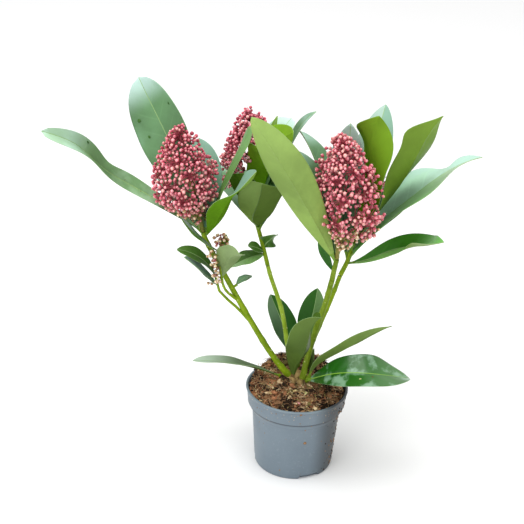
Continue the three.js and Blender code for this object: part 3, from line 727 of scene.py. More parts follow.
mass("leaves_middle", [(-30.7, 22.8, 181.6), (-36, 26.4, 200), (-41.5, 30.5, 217)], 1.9, 1.8,
     leaf(0.95, (-38, -4, 268), 36, "upper_dusky", "under_fern", right_under="under_grass",
          rib_under="midrib_dim", arch=-65, sweep=25, roll=19, twist=54, fold=17, bow=-3, sway=-21,
          widest=0.79),
     leaf(0.9, (-45, 3, 298), 35, under="under_sunny", arch=57, sweep=-39, roll=-49, twist=89, fold=21,
          sway=26, widest=0.7),
     leaf(0.95, (-16, 55, 304), 35, "upper_silver", "under_bright", arch=64, sweep=-9, roll=3, twist=5,
          fold=12, sway=3, widest=0.73),
     leaf(0.9, (-15, -5, 314), 27, under="under_sunny", arch=59, sweep=-5, roll=83, twist=40, fold=8,
          bow=20, sway=-1, widest=0.67),
     leaf(0.95, (3, 20, 323), 19, arch=61, sweep=-16, roll=-33, twist=-28, fold=12, bow=-16, sway=17,
          widest=0.57),
     leaf(0.25, (-62, 16, 181), 19, "upper_lit", right_upper="upper_leaf", arch=40, sweep=-12, roll=14,
          twist=-40),
     leaf(0.3, (-48, 12, 204), 11, "upper_leaf", arch=20, roll=40),
     leaf(0.4, (-23, 27, 209), 20, "upper_leaf", arch=41, sweep=12, roll=-109, twist=-91, fold=5, bow=7,
          sway=-24, widest=0.67),
     leaf(0.85, (-76, 112, 236), 36, arch=30),
     leaf(0.8, (-22, 122, 252), 36, "upper_dusky", arch=35),
     leaf(0.8, (-60, 3, 273), 25, "upper_shady", "under_shady", arch=20, roll=-20, widest=0.72),
     leaf(0.9, (-28, 40, 311), 14, "upper_bright", "under_bright", arch=20))
mass("leaves_right", [(23.7, -9.6, 186.4), (24.6, -10.3, 195), (26.2, -11, 206)], 2.3, 2.1,
     leaf(0.85, (-48, -60, 344), 35, under="under_lime", arch=5, sweep=-8, roll=-55, twist=15, fold=24),
     leaf(0.8, (-9, 59, 292), 30, arch=79, sweep=-7, roll=-31, twist=-1, fold=25, bow=-5, sway=-4,
          widest=0.64),
     leaf(0.75, (-14, 4, 295), 26, under="under_moss", arch=40, roll=30),
     leaf(0.85, (31, 12, 317), 34, "upper_pale", arch=-35, roll=10, twist=-20),
     leaf(0.4, (10.5, -6, 220.5), 8, "upper_deep", rib="upper_deep", roll=90),
     bark="stem_dark")
mass("leaves_rear", [(31.7, 12.2, 180), (37, 17, 190.5), (41.5, 22, 202)], 2.1, 1.9,
     leaf(0.9, (52, -1, 329), 52, "upper_bright", "under_bright", arch=17, sweep=55, roll=102,
          twist=-140, fold=12, bow=-2, sway=33, widest=0.59),
     leaf(0.95, (65, 84, 310), 34, "upper_pale", right_upper="upper_mint", arch=20),
     leaf(0.85, (103, 0, 331), 45, under="under_moss", arch=21, sweep=-16, roll=10, twist=29, fold=14,
          bow=-11, sway=15, widest=0.54, notch=(0.88, -0.76, 1)),
     leaf(0.5, (144, 33, 285), 59, "upper_sheen", "under_lime", right_upper="upper_glade", arch=47,
          sweep=-34, roll=4, twist=14, fold=12, bow=-5, sway=-12, widest=0.57, notch=(0.8, 0.7, -1)),
     leaf(0.45, (111, -24, 232), 25, "upper_fir", "under_moss", right_upper="upper_lit", arch=-14,
          sweep=-8, roll=-22, twist=19, fold=27, bow=-2, sway=49, widest=0.64),
     leaf(0.7, (104, 100, 232), 36, arch=40),
     leaf(0.5, (38, 128, 258), 36, "upper_dusky", arch=35))
mass("leaves_low_left", [(-15.4, -2, FOOT_HEIGHT), (-15.6, -2, 86.2), (-16.4, -2.2, 87.6)], 1.5, 1.2,
     leaf(0.5, (-92, -8, 101), 20, "upper_low", arch=25, roll=-14, twist=26, fold=15))
mass("leaves_low_front", [(-4, -12, FOOT_HEIGHT), (-4, -12, 88), (-3.6, -12, 91)], 1.8, 1.4,
     leaf(0.6, (15, -38, 165), 35, "upper_olive", petiole="petiole_red", arch=59, sweep=46, roll=3,
          twist=7, fold=37, bow=-27, sway=-6, widest=0.65),
     bark="woody")
mass("leaves_low_right", [(8, -8.5, FOOT_HEIGHT), (8, -8.5, 87), (10.5, -5.5, 91)], 1.8, 1.4,
     leaf(0.9, (76, -18, 149), 20, "upper_deep", "under_grass", arch=67, sweep=60, roll=40, twist=109,
          fold=20, bow=-10, sway=-5, widest=0.46),
     leaf(0.4, (94, -26, 104), 37, "upper_glossy", rib="midrib_bright", arch=50, sweep=70, roll=-26,
          twist=56, fold=13, bow=10, sway=-9, widest=0.66),
     leaf(0.9, (13, 0, 114), 6, "under_olive", rib="under_olive", arch=10, roll=30),
     bark="stem_dark")
mass("leaves_low_back", [(0, 16, FOOT_HEIGHT), (0, 16, 88), (-0.5, 16.4, 92)], 2.0, 1.6,
     leaf(0.7, (-27, 46, 141), 27, "upper_dusky", right_upper="upper_deep", arch=10, sweep=-6,
          twist=-10),
     leaf(0.8, (14, 29, 158), 25, "upper_deep", right_upper="upper_leek", arch=-20, sweep=8, roll=-16,
          twist=-20))

# Blisters, holes and scorched spots on upper sides: how far along and across, and their size.
BLEMISHES = {
    ("leaves_left", 0): [(0.93, 0.0, 0.4, "blemish_brown"), (0.77, 0.82, 1.9, "blemish"),
                         (0.77, -0.7, 1.6, "blemish"), (0.66, -0.6, 1.3, "blemish")],
    ("leaves_left", 1): [(0.77, 0.8, 1.7, "blemish"), (0.48, 0.2, 0.5, "blemish_brown"),
                         (0.39, -0.1, 0.5, "blemish_brown")],
    ("leaves_low_right", 1): [(0.57, 0.45, 1.2, "scar"), (0.66, 0.25, 1.0, "blemish_brown")],
}


def make_leaves():
    """One piece for each mass of leaves, with its stem. Gives the pieces back."""
    pieces = []
    for order, (name, grown) in enumerate(MASSES.items()):
        shapes = Shapes()
        shapes.rings(limb_rings(grown, steps=14, sides=12), grown["bark"])
        for row, (at, tip, shape, looks) in enumerate(grown["leaves"]):
            phase = (order * 0.37 + row * 0.23) % 1
            blade = Blade(curve_point(grown["path"], at), tip, phase=phase, **shape)
            blade.add_to(shapes, **looks)
            for t, s, size, tone in BLEMISHES.get((name, row), ()):
                pore(shapes, *blade.spot(t, s), size, tone, flat=0.12)
        pieces.append(shapes.piece(name + "_blades", "leaf", name))
    return pieces


def leaf_obstacles(pieces):
    """All leaves as one body that buds and their stalks keep clear of."""
    corners, polygons = [], []
    for piece in pieces:
        first = len(corners)
        corners += [vertex.co / MM for vertex in piece.data.vertices]
        polygons += [tuple(first + corner for corner in face.vertices) for face in piece.data.polygons]
    return BVHTree.FromPolygons(corners, polygons)


# ---- flower heads -----------------------------------------------------------------------

GOLDEN_ANGLE = 137.5
BUD_CLUSTER = 5.0
PRESSED_IN = 0.45  # share of its reach that a head loses on the side it is pressed
PRESSED_AT_FOOT = 0.9
BRANCH_CLIMB = 0.14
BRANCH_LENGTHS = (1, 0.75, 0.5)
BUD_RADIUS = 1.52
BUD_REACH = 2.9  # how far from its branch's cluster a bud sits, in clusters
BUD_SPACING = 2.15  # between the middles of two buds, in radii
OPENING_SCALE = 0.11  # of the openings in a head, per millimetre
OPENING_LEVEL = 0.3
SIDE_BUDS = 26
SIDE_BUD_REACH = 12.0
FEW_AT_FOOT = 0.18  # share of the buds that grow at the foot of a head
FOOT_END = 0.4  # how far up a head its foot reaches
BUD_CLEARANCE = 0.4
BUD_TRIES = 16  # for each bud that is wanted
CALYX_STALK = 0.9  # how far out of a bud's middle its stalk ends, in radii

# Up to a height in the head, its tones and the chance at which each gives way to the next.
LOW_BUDS = (
    (0.14, ("bud_cream", 0.5), ("bud_brown", 0.65), ("bud_blush", 1)),
    (0.32, ("bud_cream", 0.16), ("bud_blush", 0.66), ("bud_rose", 1)),
)
HEAD_BUDS = (
    *LOW_BUDS,
    (0.6, ("bud_blush", 0.3), ("bud_rose", 0.85), ("bud_wine", 1)),
    (1.1, ("bud_wine", 0.3), ("bud_rose", 0.88), ("bud_blush", 1)),
)
PALE_HEAD_BUDS = (*LOW_BUDS, (1.1, ("bud_blush", 0.35), ("bud_rose", 0.92), ("bud_wine", 1)))
TWIG_BUDS = ((1.1, ("bud_cream", 0.6), ("bud_brown", 0.75), ("bud_blush", 1)),)

HEADS = {
    "flowers_left": dict(foot=(-85.3, -15, 228), tip=(-106, -8, 314), width=66, branches=31, bare=0.08,
                         press=-40, seed=11, buds=610),
    "flowers_middle": dict(foot=(-41.9, 31, 218), tip=(-51, 42, 314), width=58, branches=26, bare=0.3,
                           seed=5, buds=520),
    "flowers_right": dict(foot=(26.3, -11, 207), tip=(24, -14, 314), width=76, branches=33, bare=0.1,
                          press=-138, seed=9, buds=650, bud_radius=1.62, tones=PALE_HEAD_BUDS),
    "flowers_rear": dict(foot=(41.7, 22.3, 203), tip=(56, 50, 286), width=42, branches=18, bare=0.1,
                         seed=13, buds=220),
    "flowers_inner": dict(foot=(-70.4, -19, 214.6), tip=(-70, -16, 228), width=14, branches=4, bare=0,
                          cluster=2.4, seed=21, buds=20, bud_radius=1.45, tones=TWIG_BUDS),
}


def head_shape(t):
    """How wide a head is at a share of its height."""
    return math.sin(math.pi * (0.03 + 0.93 * t**0.85)) ** 0.9


def bud_template(sides=10):
    """Points and faces of a closed bud one unit in radius, on a small calyx, along +Z."""
    levels = ((-1.0, 0.3), (-0.8, 0.62), (-0.4, 0.93), (0.1, 1.0), (0.55, 0.85), (0.9, 0.45))
    top_level, top = len(levels) - 1, len(levels) * sides
    points, faces, kinds = [], [], []
    for level, (height, radius) in enumerate(levels):
        for side in range(sides):
            angle = side * TURN / sides
            seam = 1 - 0.07 * smooth(0.0, 1.0, height) * (0.5 + 0.5 * math.cos(4 * angle))
            points.append((radius * seam * math.cos(angle), radius * seam * math.sin(angle), height))
            a, b = level * sides + side, level * sides + (side + 1) % sides
            faces.append((a, b, b + sides, a + sides) if level < top_level else (a, b, top))
            # the top faces take the painted highlight colour
            kinds.append("calyx" if level == 0 else "side" if level < 4 else "cap")
    points.append((0, 0, 1.04))
    return np.array(points), faces + [tuple(reversed(range(sides)))], kinds + ["calyx"]


BUD_POINTS, BUD_FACES, BUD_KINDS = bud_template()


def add_stalk(shapes, path, foot, tip, tone, steps=3, sides=5):
    rings = []
    for step in range(steps + 1):
        t = step / steps
        centre, radius = curve_point(path, t), lerp(foot, tip, t)
        rings.append([centre + out * radius for _, out in spokes(curve_direction(path, t), sides)])
    shapes.rings(rings, tone)


def add_bud(shapes, place, out, radius, tone, calyx, spin):
    turned = swing(*frame_about(out), spin)
    points = BUD_POINTS @ (np.array([turned, out.cross(turned), out]) * radius) + np.array(place)
    tones = [calyx if kind == "calyx" else tone + "_" + kind for kind in BUD_KINDS]
    shapes.add([tuple(point) for point in points], BUD_FACES, tones)


def bud_tone(height, tones, roll):
    """Low buds are paler, the others rose with some wine."""
    chance = roll.random()
    mix = next(mix for top, *mix in tones if height < top)
    return next(tone for tone, share in mix if chance < share)


class Head:
    """An upright head of buds, on side branches that wind up its axis."""

    def __init__(self, spec, obstacles):
        self.spec, self.obstacles, self.shapes = spec, obstacles, Shapes()
        self.cluster = spec.get("cluster", BUD_CLUSTER)
        self.foot = Vector(spec["foot"])
        self.axis = Vector(spec["tip"]) - self.foot
        self.along = self.axis.normalized()
        self.sideways = (Vector((0, 1, 0)) - self.along * self.along.y).normalized()
        self.across = self.along.cross(self.sideways)
        self.hubs = []
        self.hub_tones = []

    def reach(self, out, t):
        """How far out the head reaches on one side, t up its axis. It is pressed in on one."""
        radius = head_shape(t) * self.spec["width"] / 2
        if "press" not in self.spec:
            return radius, 1.0
        facing = math.cos(math.atan2(out.y, out.x) - math.radians(self.spec["press"]))
        return radius, 1 - lerp(PRESSED_AT_FOOT, PRESSED_IN, smooth(0, FOOT_END, t)) * max(facing, 0)

    def clear(self, place, distance):
        return self.obstacles.find_nearest(place, distance)[0] is None

    def in_sight(self, start, end):
        """Whether no leaf stands between two places."""
        way = end - start
        return self.obstacles.ray_cast(start, way.normalized(), way.length)[0] is None

    def grow_axis(self):
        low, middle, high = (self.foot + self.axis * share for share in (0, 0.5, 0.93))
        thick, half, thin = (self.cluster * share for share in (0.4, 0.3, 0.14))
        add_stalk(self.shapes, [low, middle], thick, half, "stalk_green", 6, 8)
        add_stalk(self.shapes, [middle, high], half, thin, "stalk_wine", 6, 8)

    def grow_branches(self):
        stream = dice(self.spec["seed"])
        count = self.spec["branches"]
        for branch in range(count):
            t = lerp(self.spec["bare"], 1, (branch + 0.5) / count)
            out = swing(self.sideways, self.across, math.radians(GOLDEN_ANGLE * branch + 20 * next(stream)))
            radius, kept = self.reach(out, t)
            reach = max(radius - self.cluster, self.cluster * 0.6) * kept * lerp(0.9, 1, next(stream))
            next(stream), next(stream)
            start = self.foot + self.axis * clamp(t - BRANCH_CLIMB, 0.02, 0.85)
            for share in BRANCH_LENGTHS:
                end = self.foot + self.axis * lerp(0.03, 0.96, t) + out * reach * share
                if self.clear(end, self.cluster) and self.in_sight(start, end):
                    break
            else:
                continue
            middle = start.lerp(end, 0.5) + self.along * self.cluster * 0.8
            tone = "stalk_green" if t < 0.3 else "stalk_wine"
            path = [start, middle, end - out * self.cluster * 0.4]
            add_stalk(self.shapes, path, self.cluster * 0.13, self.cluster * 0.08, tone, 5)
            self.hubs += path[1:]
            self.hub_tones += [tone, tone]

    def grow_buds(self):
        """Buds fill the room about the branches, most of them near its outside."""
        roll = random.Random(self.spec["seed"])
        hubs = np.array(self.hubs)
        placed = np.zeros((0, 3))
        for _ in range(self.spec["buds"] * BUD_TRIES):
            if len(placed) >= self.spec["buds"]:
                break
            t = lerp(self.spec["bare"], 1, roll.random())
            if roll.random() > lerp(FEW_AT_FOOT, 1, smooth(0, FOOT_END, t)):
                continue
            out = swing(self.sideways, self.across, roll.uniform(0, TURN))
            radius, kept = self.reach(out, t)
            depth = radius * kept * smooth(-0.1, 0.3, t) * roll.uniform(0.1, 1) ** 0.42
            place = self.foot + self.axis * lerp(0.0, 1.02, t) + out * depth
            if noise.noise(place * OPENING_SCALE) > OPENING_LEVEL:
                continue
            gaps = np.linalg.norm(hubs - np.array(place), axis=1)
            nearest = int(gaps.argmin())
            hub, tone = self.hubs[nearest], self.hub_tones[nearest]
            size = self.spec.get("bud_radius", BUD_RADIUS) * roll.uniform(0.72, 1.12)
            if gaps[nearest] > self.cluster * BUD_REACH or gaps[nearest] < size * 1.4:
                continue
            if len(placed) and np.linalg.norm(placed - np.array(place), axis=1).min() < size * BUD_SPACING:
                continue
            if not self.clear(place, size + BUD_CLEARANCE) or not self.in_sight(hub, place):
                continue
            placed = np.vstack([placed, place])
            way = ((place - hub).normalized() + out * 0.5 + self.along * 0.35).normalized()
            bud = bud_tone(t, self.spec.get("tones", HEAD_BUDS), roll)
            add_bud(self.shapes, place, way, size, bud, tone, roll.uniform(0, 6.3))
            path = [hub, hub.lerp(place, 0.5) - way * 0.4, place - way * size * CALYX_STALK]
            add_stalk(self.shapes, path, 0.36, 0.3, tone, 3, 4)


def make_heads(obstacles):
    for name, spec in HEADS.items():
        head = Head(spec, obstacles)
        head.grow_axis()
        head.grow_branches()
        head.grow_buds()
        head.shapes.piece(name + "_buds", "buds", name)


def make_side_buds(obstacles):
    """Loose buds on short stalks, up one side of the inner twig's leafy end."""
    shapes = Shapes()
    roll = random.Random(6)
    placed = []
    while len(placed) < SIDE_BUDS:
        start = curve_point(MASSES["leaves_inner"]["path"], roll.uniform(0.05, 0.95))
        way = polar(1, math.radians(roll.uniform(150, 250)), roll.uniform(-0.4, 0.8)).normalized()
        place = start + way * roll.uniform(3.5, SIDE_BUD_REACH)
        size = roll.uniform(1.2, 1.65)
        if any((place - other).length < size * BUD_SPACING for other in placed):
            continue
        if obstacles.find_nearest(place, size + BUD_CLEARANCE)[0] is not None:
            continue
        placed.append(place)
        tone = roll.choices(("bud_cream", "bud_blush", "bud_brown"), (14, 2, 4))[0]
        add_bud(shapes, place, way, size, tone, "stalk_green", roll.uniform(0, 6.3))
        path = [start, start.lerp(place, 0.6), place - way * size * CALYX_STALK]
        add_stalk(shapes, path, 0.4, 0.3, "stalk_green", 3, 4)
    shapes.piece("side_buds", "buds")


# ---- the pot ----------------------------------------------------------------------------

pot_low, pot_high = (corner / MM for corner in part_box("pot"))
RIM_RADIUS = (pot_high.x - pot_low.x) / 2
RIM_HEIGHT = pot_high.z
COLLAR_RADIUS, COLLAR_HEIGHT = 43.0, 61.3
BODY_RADIUS, BODY_HEIGHT = 38.7, 55.0
FOOT_RADIUS = 34.6
WALL = 1.3
FLOOR = 1.8
LIP, LIP_DEPTH = 0.9, 1.9
NOTCHES, NOTCH_BEARING = 3, -66.0
NOTCH_WIDTH, NOTCH_HEIGHT, NOTCH_DEPTH = 20.0, 3.4, 3.0
NOTCH_SLOPE = 2.5  # degrees at each end
POT_SIDES, POT_WOBBLE = 180, 0.0025
GRIME_SPECKS, RIM_SPECKS, LOOSE_SPECKS = 170, 70, 60
OUTER_WALL = slice(5, 23)  # the rows of the pot's outline that its outside shows
POT_SPLASHES = (  # bearing, height, size
    (-78, 54, 0.6), (-77, 40, 1.4), (-114, 71, 0.6), (-110, 8, 0.7), (-135, 42, 0.5), (-72, 60, 0.5),
    (-52, 38, 0.5), (-41, 24, 0.6), (-142, 68, 0.6), (-146, 50, 0.5), (-86, 64, 0.5),
)


def pot_outline(open_share):
    """Radius, height and tone up the outside, over the lip and down to the floor's middle.

    open_share is 1 in a drainage notch and 0 beside it.
    """
    notch = NOTCH_HEIGHT * open_share
    inner_foot = FOOT_RADIUS - NOTCH_DEPTH
    slope = (BODY_RADIUS - FOOT_RADIUS) / BODY_HEIGHT
    lip_foot, inner_rim = RIM_HEIGHT - LIP_DEPTH, RIM_RADIUS - LIP - WALL
    step = max(notch, 0.35)
    body_heights = (6, 12, 20, 28, 36, 44, 52)
    blocks = (  # tone, a radius and height, and the rows' offsets from them
        ("pot", 0, 0, [(0.01, 0.0), (inner_foot - 1, 0.0), (inner_foot, 0.0), (inner_foot + 0.2, notch)]),
        ("pot", FOOT_RADIUS, 0, [(-1.2, notch), (-0.35, step), (0.1, step + 1.1)]),
        ("pot", FOOT_RADIUS, 0, [(slope * height, float(height)) for height in body_heights]),
        ("pot", BODY_RADIUS, BODY_HEIGHT, [(0.1, -0.3), (0.9, 0.9), (2.6, 3.2)]),
        # painted shade on the step under the collar
        ("pot_crease", COLLAR_RADIUS, COLLAR_HEIGHT, [(-0.9, -1.5)]),
        ("pot", COLLAR_RADIUS, COLLAR_HEIGHT, [(0, 0.4), (0.35, 6)]),
        ("pot", COLLAR_RADIUS, lip_foot, [(0.8, -3)]),
        # painted highlight on the lip
        ("pot_lip", RIM_RADIUS, lip_foot, [(-LIP, 0), (-0.2, 0.5), (0, 0.9)]),
        ("pot_lip", RIM_RADIUS, RIM_HEIGHT, [(0, -0.6), (-0.25, -0.12), (-0.8, 0)]),
        ("pot_lip", inner_rim, RIM_HEIGHT, [(0.5, 0)]),
        ("pot", inner_rim, RIM_HEIGHT, [(0, -0.5)]),
        ("pot", COLLAR_RADIUS, COLLAR_HEIGHT, [(-WALL, 0)]),
        ("pot", BODY_RADIUS, BODY_HEIGHT, [(-WALL, 0)]),
        ("pot", FOOT_RADIUS, FLOOR, [(-WALL, 0)]),
        ("pot", 0, FLOOR, [(0.01, 0)]),
    )
    return [(radius + out, height + up, tone) for tone, radius, height, rows in blocks for out, up in rows]


def notch_share(bearing):
    """1 inside a drainage notch, 0 beside it, with short sloped ends."""
    step = 360 / NOTCHES
    off = (bearing - NOTCH_BEARING + step / 2) % step - step / 2
    half = math.degrees(NOTCH_WIDTH / 2 / FOOT_RADIUS)
    return smooth(half, half - NOTCH_SLOPE, abs(off)) if abs(off) < half else 0.0


def make_pot():
    shapes = Shapes()
    tones = [tone for _, _, tone in pot_outline(0)]
    levels = len(tones)
    points, faces, face_tones = [], [], []
    for side in range(POT_SIDES):
        bearing = side * 360 / POT_SIDES
        angle = math.radians(bearing)
        for radius, height, _ in pot_outline(notch_share(bearing)):
            wobble = 1 + POT_WOBBLE * noise.noise(polar(1.5, angle, height * 0.03))
            points.append(polar(radius * wobble, angle, height))
        here, there = side * levels, (side + 1) % POT_SIDES * levels
        for level in range(levels - 1):
            faces.append((here + level, there + level, there + level + 1, here + level + 1))
            face_tones.append(tones[level])
    shapes.add(points, faces, face_tones)
    shapes.piece("pot_shell", "pot", "pot")


def wall_radius(height):
    """The pot's outer radius at a height between its foot and its lip."""
    outside = [(radius, at) for radius, at, _ in pot_outline(0)[OUTER_WALL]]
    for (low_radius, low), (high_radius, high) in zip(outside, outside[1:]):
        if low <= height <= high:
            return lerp(low_radius, high_radius, (height - low) / max(high - low, 0.01))
    return RIM_RADIUS


def add_dirt(shapes, bearing, height, size, tone):
    out = polar(1, math.radians(bearing))
    pore(shapes, out * wall_radius(height) + UP * height, out, size, tone, flat=0.4)


def make_dirt():
    """Splashes of peat that dried on the pot, most of them on one side and under the rim."""
    shapes = Shapes()
    roll = random.Random(8)
    for splash in POT_SPLASHES:
        add_dirt(shapes, *splash, "peat_brown")
    for _ in range(GRIME_SPECKS):
        bearing, height = roll.gauss(-14, 13), roll.uniform(3, 73)
        size = roll.uniform(0.3, 1.0)
        add_dirt(shapes, bearing, height, size, roll.choice(("peat_dark", "peat_dark", "peat_brown")))
    for _ in range(RIM_SPECKS):
        bearing, height = roll.uniform(-175, -20), 73 - 14 * roll.random() ** 2
        add_dirt(shapes, bearing, height, roll.uniform(0.18, 0.4), roll.choice(("peat_brown", "peat_tan")))
    for _ in range(LOOSE_SPECKS):
        add_dirt(shapes, roll.uniform(0, 360), roll.uniform(4, 66), roll.uniform(0.15, 0.35), "peat_brown")
    shapes.piece("pot_dirt", "peat")


# ---- the peat ---------------------------------------------------------------------------

PEAT_EDGE_HEIGHT = 73.0
PEAT_LEVEL_RADIUS = 20.0
MOUND_CURVE = 1.5
HEAP, HEAP_RADIUS, HEAP_SPREAD, HEAP_DEPTH = 11.0, 31.0, 8.0, 25.0
PEAT_EDGE_RADIUS = RIM_RADIUS - LIP - WALL - 0.5
PEAT_BUMPS = ((2.2, 3, 0.09), (1.5, 9, 0.22), (1.0, 17, 0.55))  # height, layer of noise, scale
PEAT_RINGS = 90
PEAT_SIDES = 260
CHIPS = 3400
CHIP_SIZES = (0.4, 0.6, 0.8, 1.1, 1.5, 2.0, 2.7)
CHIP_SHARES = (26, 28, 20, 12, 7, 3, 1)
CHIP_FACES = [(3, 2, 1, 0), (4, 5, 6, 7), (0, 1, 5, 4), (1, 2, 6, 5), (2, 3, 7, 6), (3, 0, 4, 7)]
FIBRES = 2600
FELT_RADIUS = 13.0
LITTER_TONES = ("peat_dark", "peat_brown", "peat_rust", "peat_tan", "straw", "moss")
CLODS = (  # x, y, size, tone
    (-36.0, 21.0, 3.2, "peat_dark"), (-38.0, 17.0, 2.6, "peat_brown"), (-33.5, 24.0, 2.8, "peat_dark"),
    (-30.0, 26.5, 2.6, "peat_rust"), (-24.0, 30.0, 3.0, "peat_rust"), (37.0, -16.0, 2.8, "peat_dark"),
    (39.0, -9.0, 2.6, "peat_dark"), (35.0, -22.0, 2.4, "peat_brown"), (1.0, -34.0, 1.4, "bud_rose_cap"),
    (7.0, -24.0, 1.3, "scar"), (-8.0, -30.0, 1.5, "peat_tan"), (12.0, -31.0, 1.6, "straw"),
    (-20.0, -20.0, 1.8, "peat_dark"),
)
CROWN_LUMPS = (  # x, y, size
    (-2.5, -3.5, 3.6), (2.0, -8.5, 3.0), (-0.5, 1.0, 4.2), (5.5, 0.5, 3.4),
    (-6.5, -4.0, 2.8), (-4.0, -10.5, 2.6), (1.0, 5.5, 4.4), (-9.5, -1.5, 2.6),
)
CROWN_RINGS, CROWN_SIDES, CROWN_SINK, CROWN_CRUMBS = 6, 12, 1.2, 60


def peat_height(x, y):
    radius = math.hypot(x, y)
    slope = clamp((radius - PEAT_LEVEL_RADIUS) / (PEAT_EDGE_RADIUS - PEAT_LEVEL_RADIUS), 0, 1)
    height = lerp(PEAT_TOP, PEAT_EDGE_HEIGHT, slope**MOUND_CURVE)
    heap = HEAP * smooth(0, HEAP_DEPTH, y) * bell(radius - HEAP_RADIUS, HEAP_SPREAD)
    height += heap * smooth(0, 0.1, slope)
    for bump, layer, scale in PEAT_BUMPS:
        height += bump * noise.noise(Vector((x, y, layer)) * scale)
    return height - 0.8 + 0.5 * noise.noise(Vector((x, y, 31)) * 1.3)


def on_peat(x, y, lift=0.0):
    return Vector((x, y, peat_height(x, y) + lift))


def make_peat():
    """The rough mound, closed under."""
    shapes = Shapes()
    angles = [side * TURN / PEAT_SIDES for side in range(PEAT_SIDES)]
    walls = ((FOOT_RADIUS, FLOOR + 0.3), (BODY_RADIUS, BODY_HEIGHT), (COLLAR_RADIUS, COLLAR_HEIGHT + 1))
    rings = [[polar(radius - WALL - 0.5, angle, z) for angle in angles] for radius, z in walls]
    for ring in range(PEAT_RINGS):
        radius = PEAT_EDGE_RADIUS * (1 - ring / PEAT_RINGS) + 0.3 * ring / PEAT_RINGS
        rings.append([on_peat(radius * math.cos(angle), radius * math.sin(angle)) for angle in angles])
    shapes.rings(rings, "peat_dark")
    shapes.piece("peat_mound", "peat", "peat")


def random_place(roll):
    radius = PEAT_EDGE_RADIUS * math.sqrt(roll.random()) * 0.985
    angle = roll.uniform(0, TURN)
    return on_peat(radius * math.cos(angle), radius * math.sin(angle))


def add_chip(shapes, place, size, tone, roll):
    """An angular crumb with eight corners."""
    turn = Matrix.Rotation(roll.uniform(0, 6.3), 3, "Z") @ Matrix.Rotation(roll.uniform(-0.9, 0.9), 3, "X")
    stretch = [size * roll.uniform(*limits) for limits in ((0.9, 1.9), (0.5, 1.0), (0.3, 0.7))]
    corners = []
    for z in (-1, 1):
        for x, y in ((-1, -1), (1, -1), (1, 1), (-1, 1)):
            corner = Vector((x * stretch[0], y * stretch[1], z * stretch[2])) * roll.uniform(0.55, 1.0)
            corners.append(place + turn @ corner)
    shapes.add(corners, CHIP_FACES, tone)


def add_fibre(shapes, place, length, thickness, tone, roll):
    """A short curved strand that lies on the peat."""
    heading, bend, tilt = roll.uniform(0, TURN), roll.uniform(-1.6, 1.6), roll.uniform(-0.15, 0.5)
    path = []
    point = place + UP * thickness
    for step in range(4):
        path.append(point)
        point = point + polar(1, heading + bend * step / 3, tilt * (1 - step / 2)) * length / 3
        if math.hypot(point.x, point.y) > PEAT_EDGE_RADIUS:
            return
        point.z = max(point.z, peat_height(point.x, point.y) + thickness)
    add_stalk(shapes, path, thickness, thickness * 0.6, tone, 5, 4)


def litter_tone(place, roll):
    """Black patches of dark peat that also paint the shade of hollows, rusty clods, and pale felted fibre
    round the crown.
    """
    felt = math.exp(-((place.x - 3) ** 2 + (place.y + 13) ** 2) / FELT_RADIUS**2)
    # dark peat massed in patches: partly the peat's own colour, partly painted shade of hollows
    void_shade = smooth(0.0, 0.25, noise.noise(Vector((place.x, place.y, 41)) * 0.085)) * (1 - felt)
    rusty = smooth(-0.1, 0.25, noise.noise(Vector((place.x, place.y, 57)) * 0.07))
    open_share = 1 - 0.75 * void_shade
    pale = (22, 10 + 30 * rusty, 9 + 22 * felt, 4 + 6 * felt, 2 + 26 * felt)
    return roll.choices(LITTER_TONES, [6 + 110 * void_shade] + [open_share * share for share in pale])[0]


def make_litter():
    roll = random.Random(4)
    chips, fibres = Shapes(), Shapes()
    for _ in range(CHIPS):
        place = random_place(roll)
        size = roll.choices(CHIP_SIZES, CHIP_SHARES)[0]
        add_chip(chips, place + UP * (size * 0.2), size, litter_tone(place, roll), roll)
    for x, y, size, tone in CLODS:
        add_chip(chips, on_peat(x, y, size * 0.35), size, tone, roll)
    chips.piece("peat_chips", "peat")
    for _ in range(FIBRES):
        place = random_place(roll)
        length, thickness = roll.uniform(2.5, 8), roll.uniform(0.12, 0.32)
        add_fibre(fibres, place, length, thickness, litter_tone(place, roll), roll)
    fibres.piece("peat_fibres", "peat")


def make_crown():
    """The woody crown that the stems rise from, low between their feet."""
    shapes = Shapes()
    roll = random.Random(12)
    for x, y, size in CROWN_LUMPS:
        rings = []
        for level in range(CROWN_RINGS):
            lift = level / (CROWN_RINGS - 1)
            radius = size * math.sqrt(max(0.02, 1 - lift**2))
            ring = []
            for side in range(CROWN_SIDES):
                angle = side * TURN / CROWN_SIDES
                cos, sin = math.cos(angle), math.sin(angle)
                reach = radius * (1 + 0.3 * noise.noise(Vector((x + cos, y + sin, lift * 2))))
                ring.append(Vector((x + reach * cos, y + reach * sin, PEAT_TOP - CROWN_SINK + lift * size)))
            rings.append(ring)
        shapes.rings(rings, "woody")
    for _ in range(CROWN_CRUMBS):
        angle, radius = roll.uniform(0, 6.3), roll.uniform(1, 11)
        place = Vector((radius * math.cos(angle), radius * math.sin(angle) - 2, 0))
        size = roll.uniform(0.5, 1.1)
        tone = roll.choice(("woody", "moss", "scale_brown"))
        add_chip(shapes, on_peat(place.x, place.y, 0.4), size, tone, roll)
    shapes.piece("root_crown", "stem")


# ---- building it ------------------------------------------------------------------------

for order, (name, limb) in enumerate(STEMS.items()):
    make_limb(name, limb, steps=80, sides=16, pores=16, seed=order + 5)
for order, (name, limb) in enumerate(TWIGS.items()):
    make_limb(name, limb, steps=24, sides=10, pores=4, seed=order + 31)

obstacles = leaf_obstacles(make_leaves())
make_heads(obstacles)
make_side_buds(obstacles)
make_pot()
make_dirt()
make_peat()
make_litter()
make_crown()


# ---- studio -----------------------------------------------------------------------------

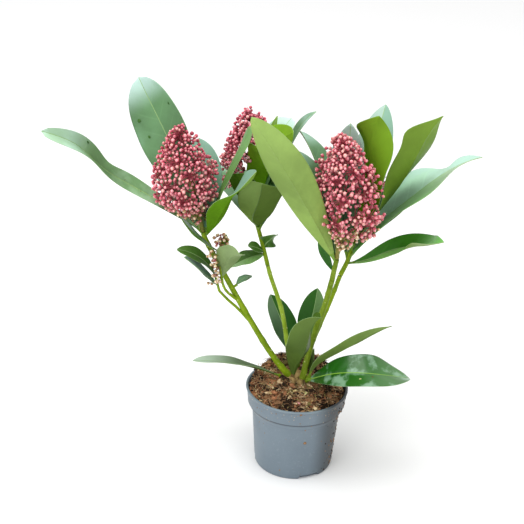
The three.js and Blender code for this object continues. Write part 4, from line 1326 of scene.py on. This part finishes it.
PITCH = math.radians(26)
ROLL = math.radians(2.5)
AIM = Vector((-35.6, 0, 195.3)) * MM
DISTANCE = 1050.6 * MM
SENSOR = 36.0
LENS = 1250 / 524 * SENSOR
SKY_LOW, SKY_HIGH = 0.6, 1.05
FLOOR_REACH = 6.0
SOFTBOX_AIM = Vector((0, 0, 0.2))


def add_camera():
    data = bpy.data.cameras.new("camera")
    data.lens = LENS
    data.sensor_width = SENSOR
    camera = bpy.data.objects.new("camera", data)
    forward = Vector((0, math.cos(PITCH), -math.sin(PITCH)))
    right = Vector((1, 0, 0))
    up = right.cross(forward)
    turn = Matrix((swing(right, up, ROLL), swing(up, -right, ROLL), -forward)).transposed()
    camera.matrix_world = Matrix.Translation(AIM - forward * DISTANCE) @ turn.to_4x4()
    scene.collection.objects.link(camera)
    scene.camera = camera


def add_softbox(name, place, size, power):
    data = bpy.data.lights.new(name, "AREA")
    data.shape = "DISK"
    data.size = size
    data.energy = power
    light = bpy.data.objects.new(name, data)
    light.location = place
    light.rotation_euler = (SOFTBOX_AIM - Vector(place)).to_track_quat("-Z", "Y").to_euler()
    scene.collection.objects.link(light)


def add_floor():
    mesh = bpy.data.meshes.new("studio_floor")
    corners = [(x * FLOOR_REACH, y * FLOOR_REACH, 0) for x, y in ((-1, -1), (1, -1), (1, 1), (-1, 1))]
    mesh.from_pydata(corners, [], [(0, 1, 2, 3)])
    mesh.materials.append(Finish("studio_floor", Roughness=0.9, Base_Color=(0.9, 0.9, 0.9, 1)).material)
    floor = bpy.data.objects.new("studio_floor", mesh)
    scene.collection.objects.link(floor)


def add_sky():
    scene.world = bpy.data.worlds.new("studio")
    scene.world.use_nodes = True
    tree = scene.world.node_tree
    upwards = add_node(tree, "TexCoord", {})["Generated"]
    height = add_node(tree, "SeparateXYZ", {0: upwards})["Z"]
    sky = tree.nodes["Background"]
    sky.inputs["Color"].default_value = (1, 1, 1, 1)
    tree.links.new(range_node(tree, height, 0.1, 0.75, SKY_LOW, SKY_HIGH), sky.inputs["Strength"])


add_camera()
add_floor()
add_sky()
add_softbox("overhead", (-0.25, -0.1, 1.5), size=1.3, power=14)
add_softbox("front_left", (-0.9, -1.3, 1.1), size=0.9, power=6)
scene.view_settings.view_transform = "Standard"
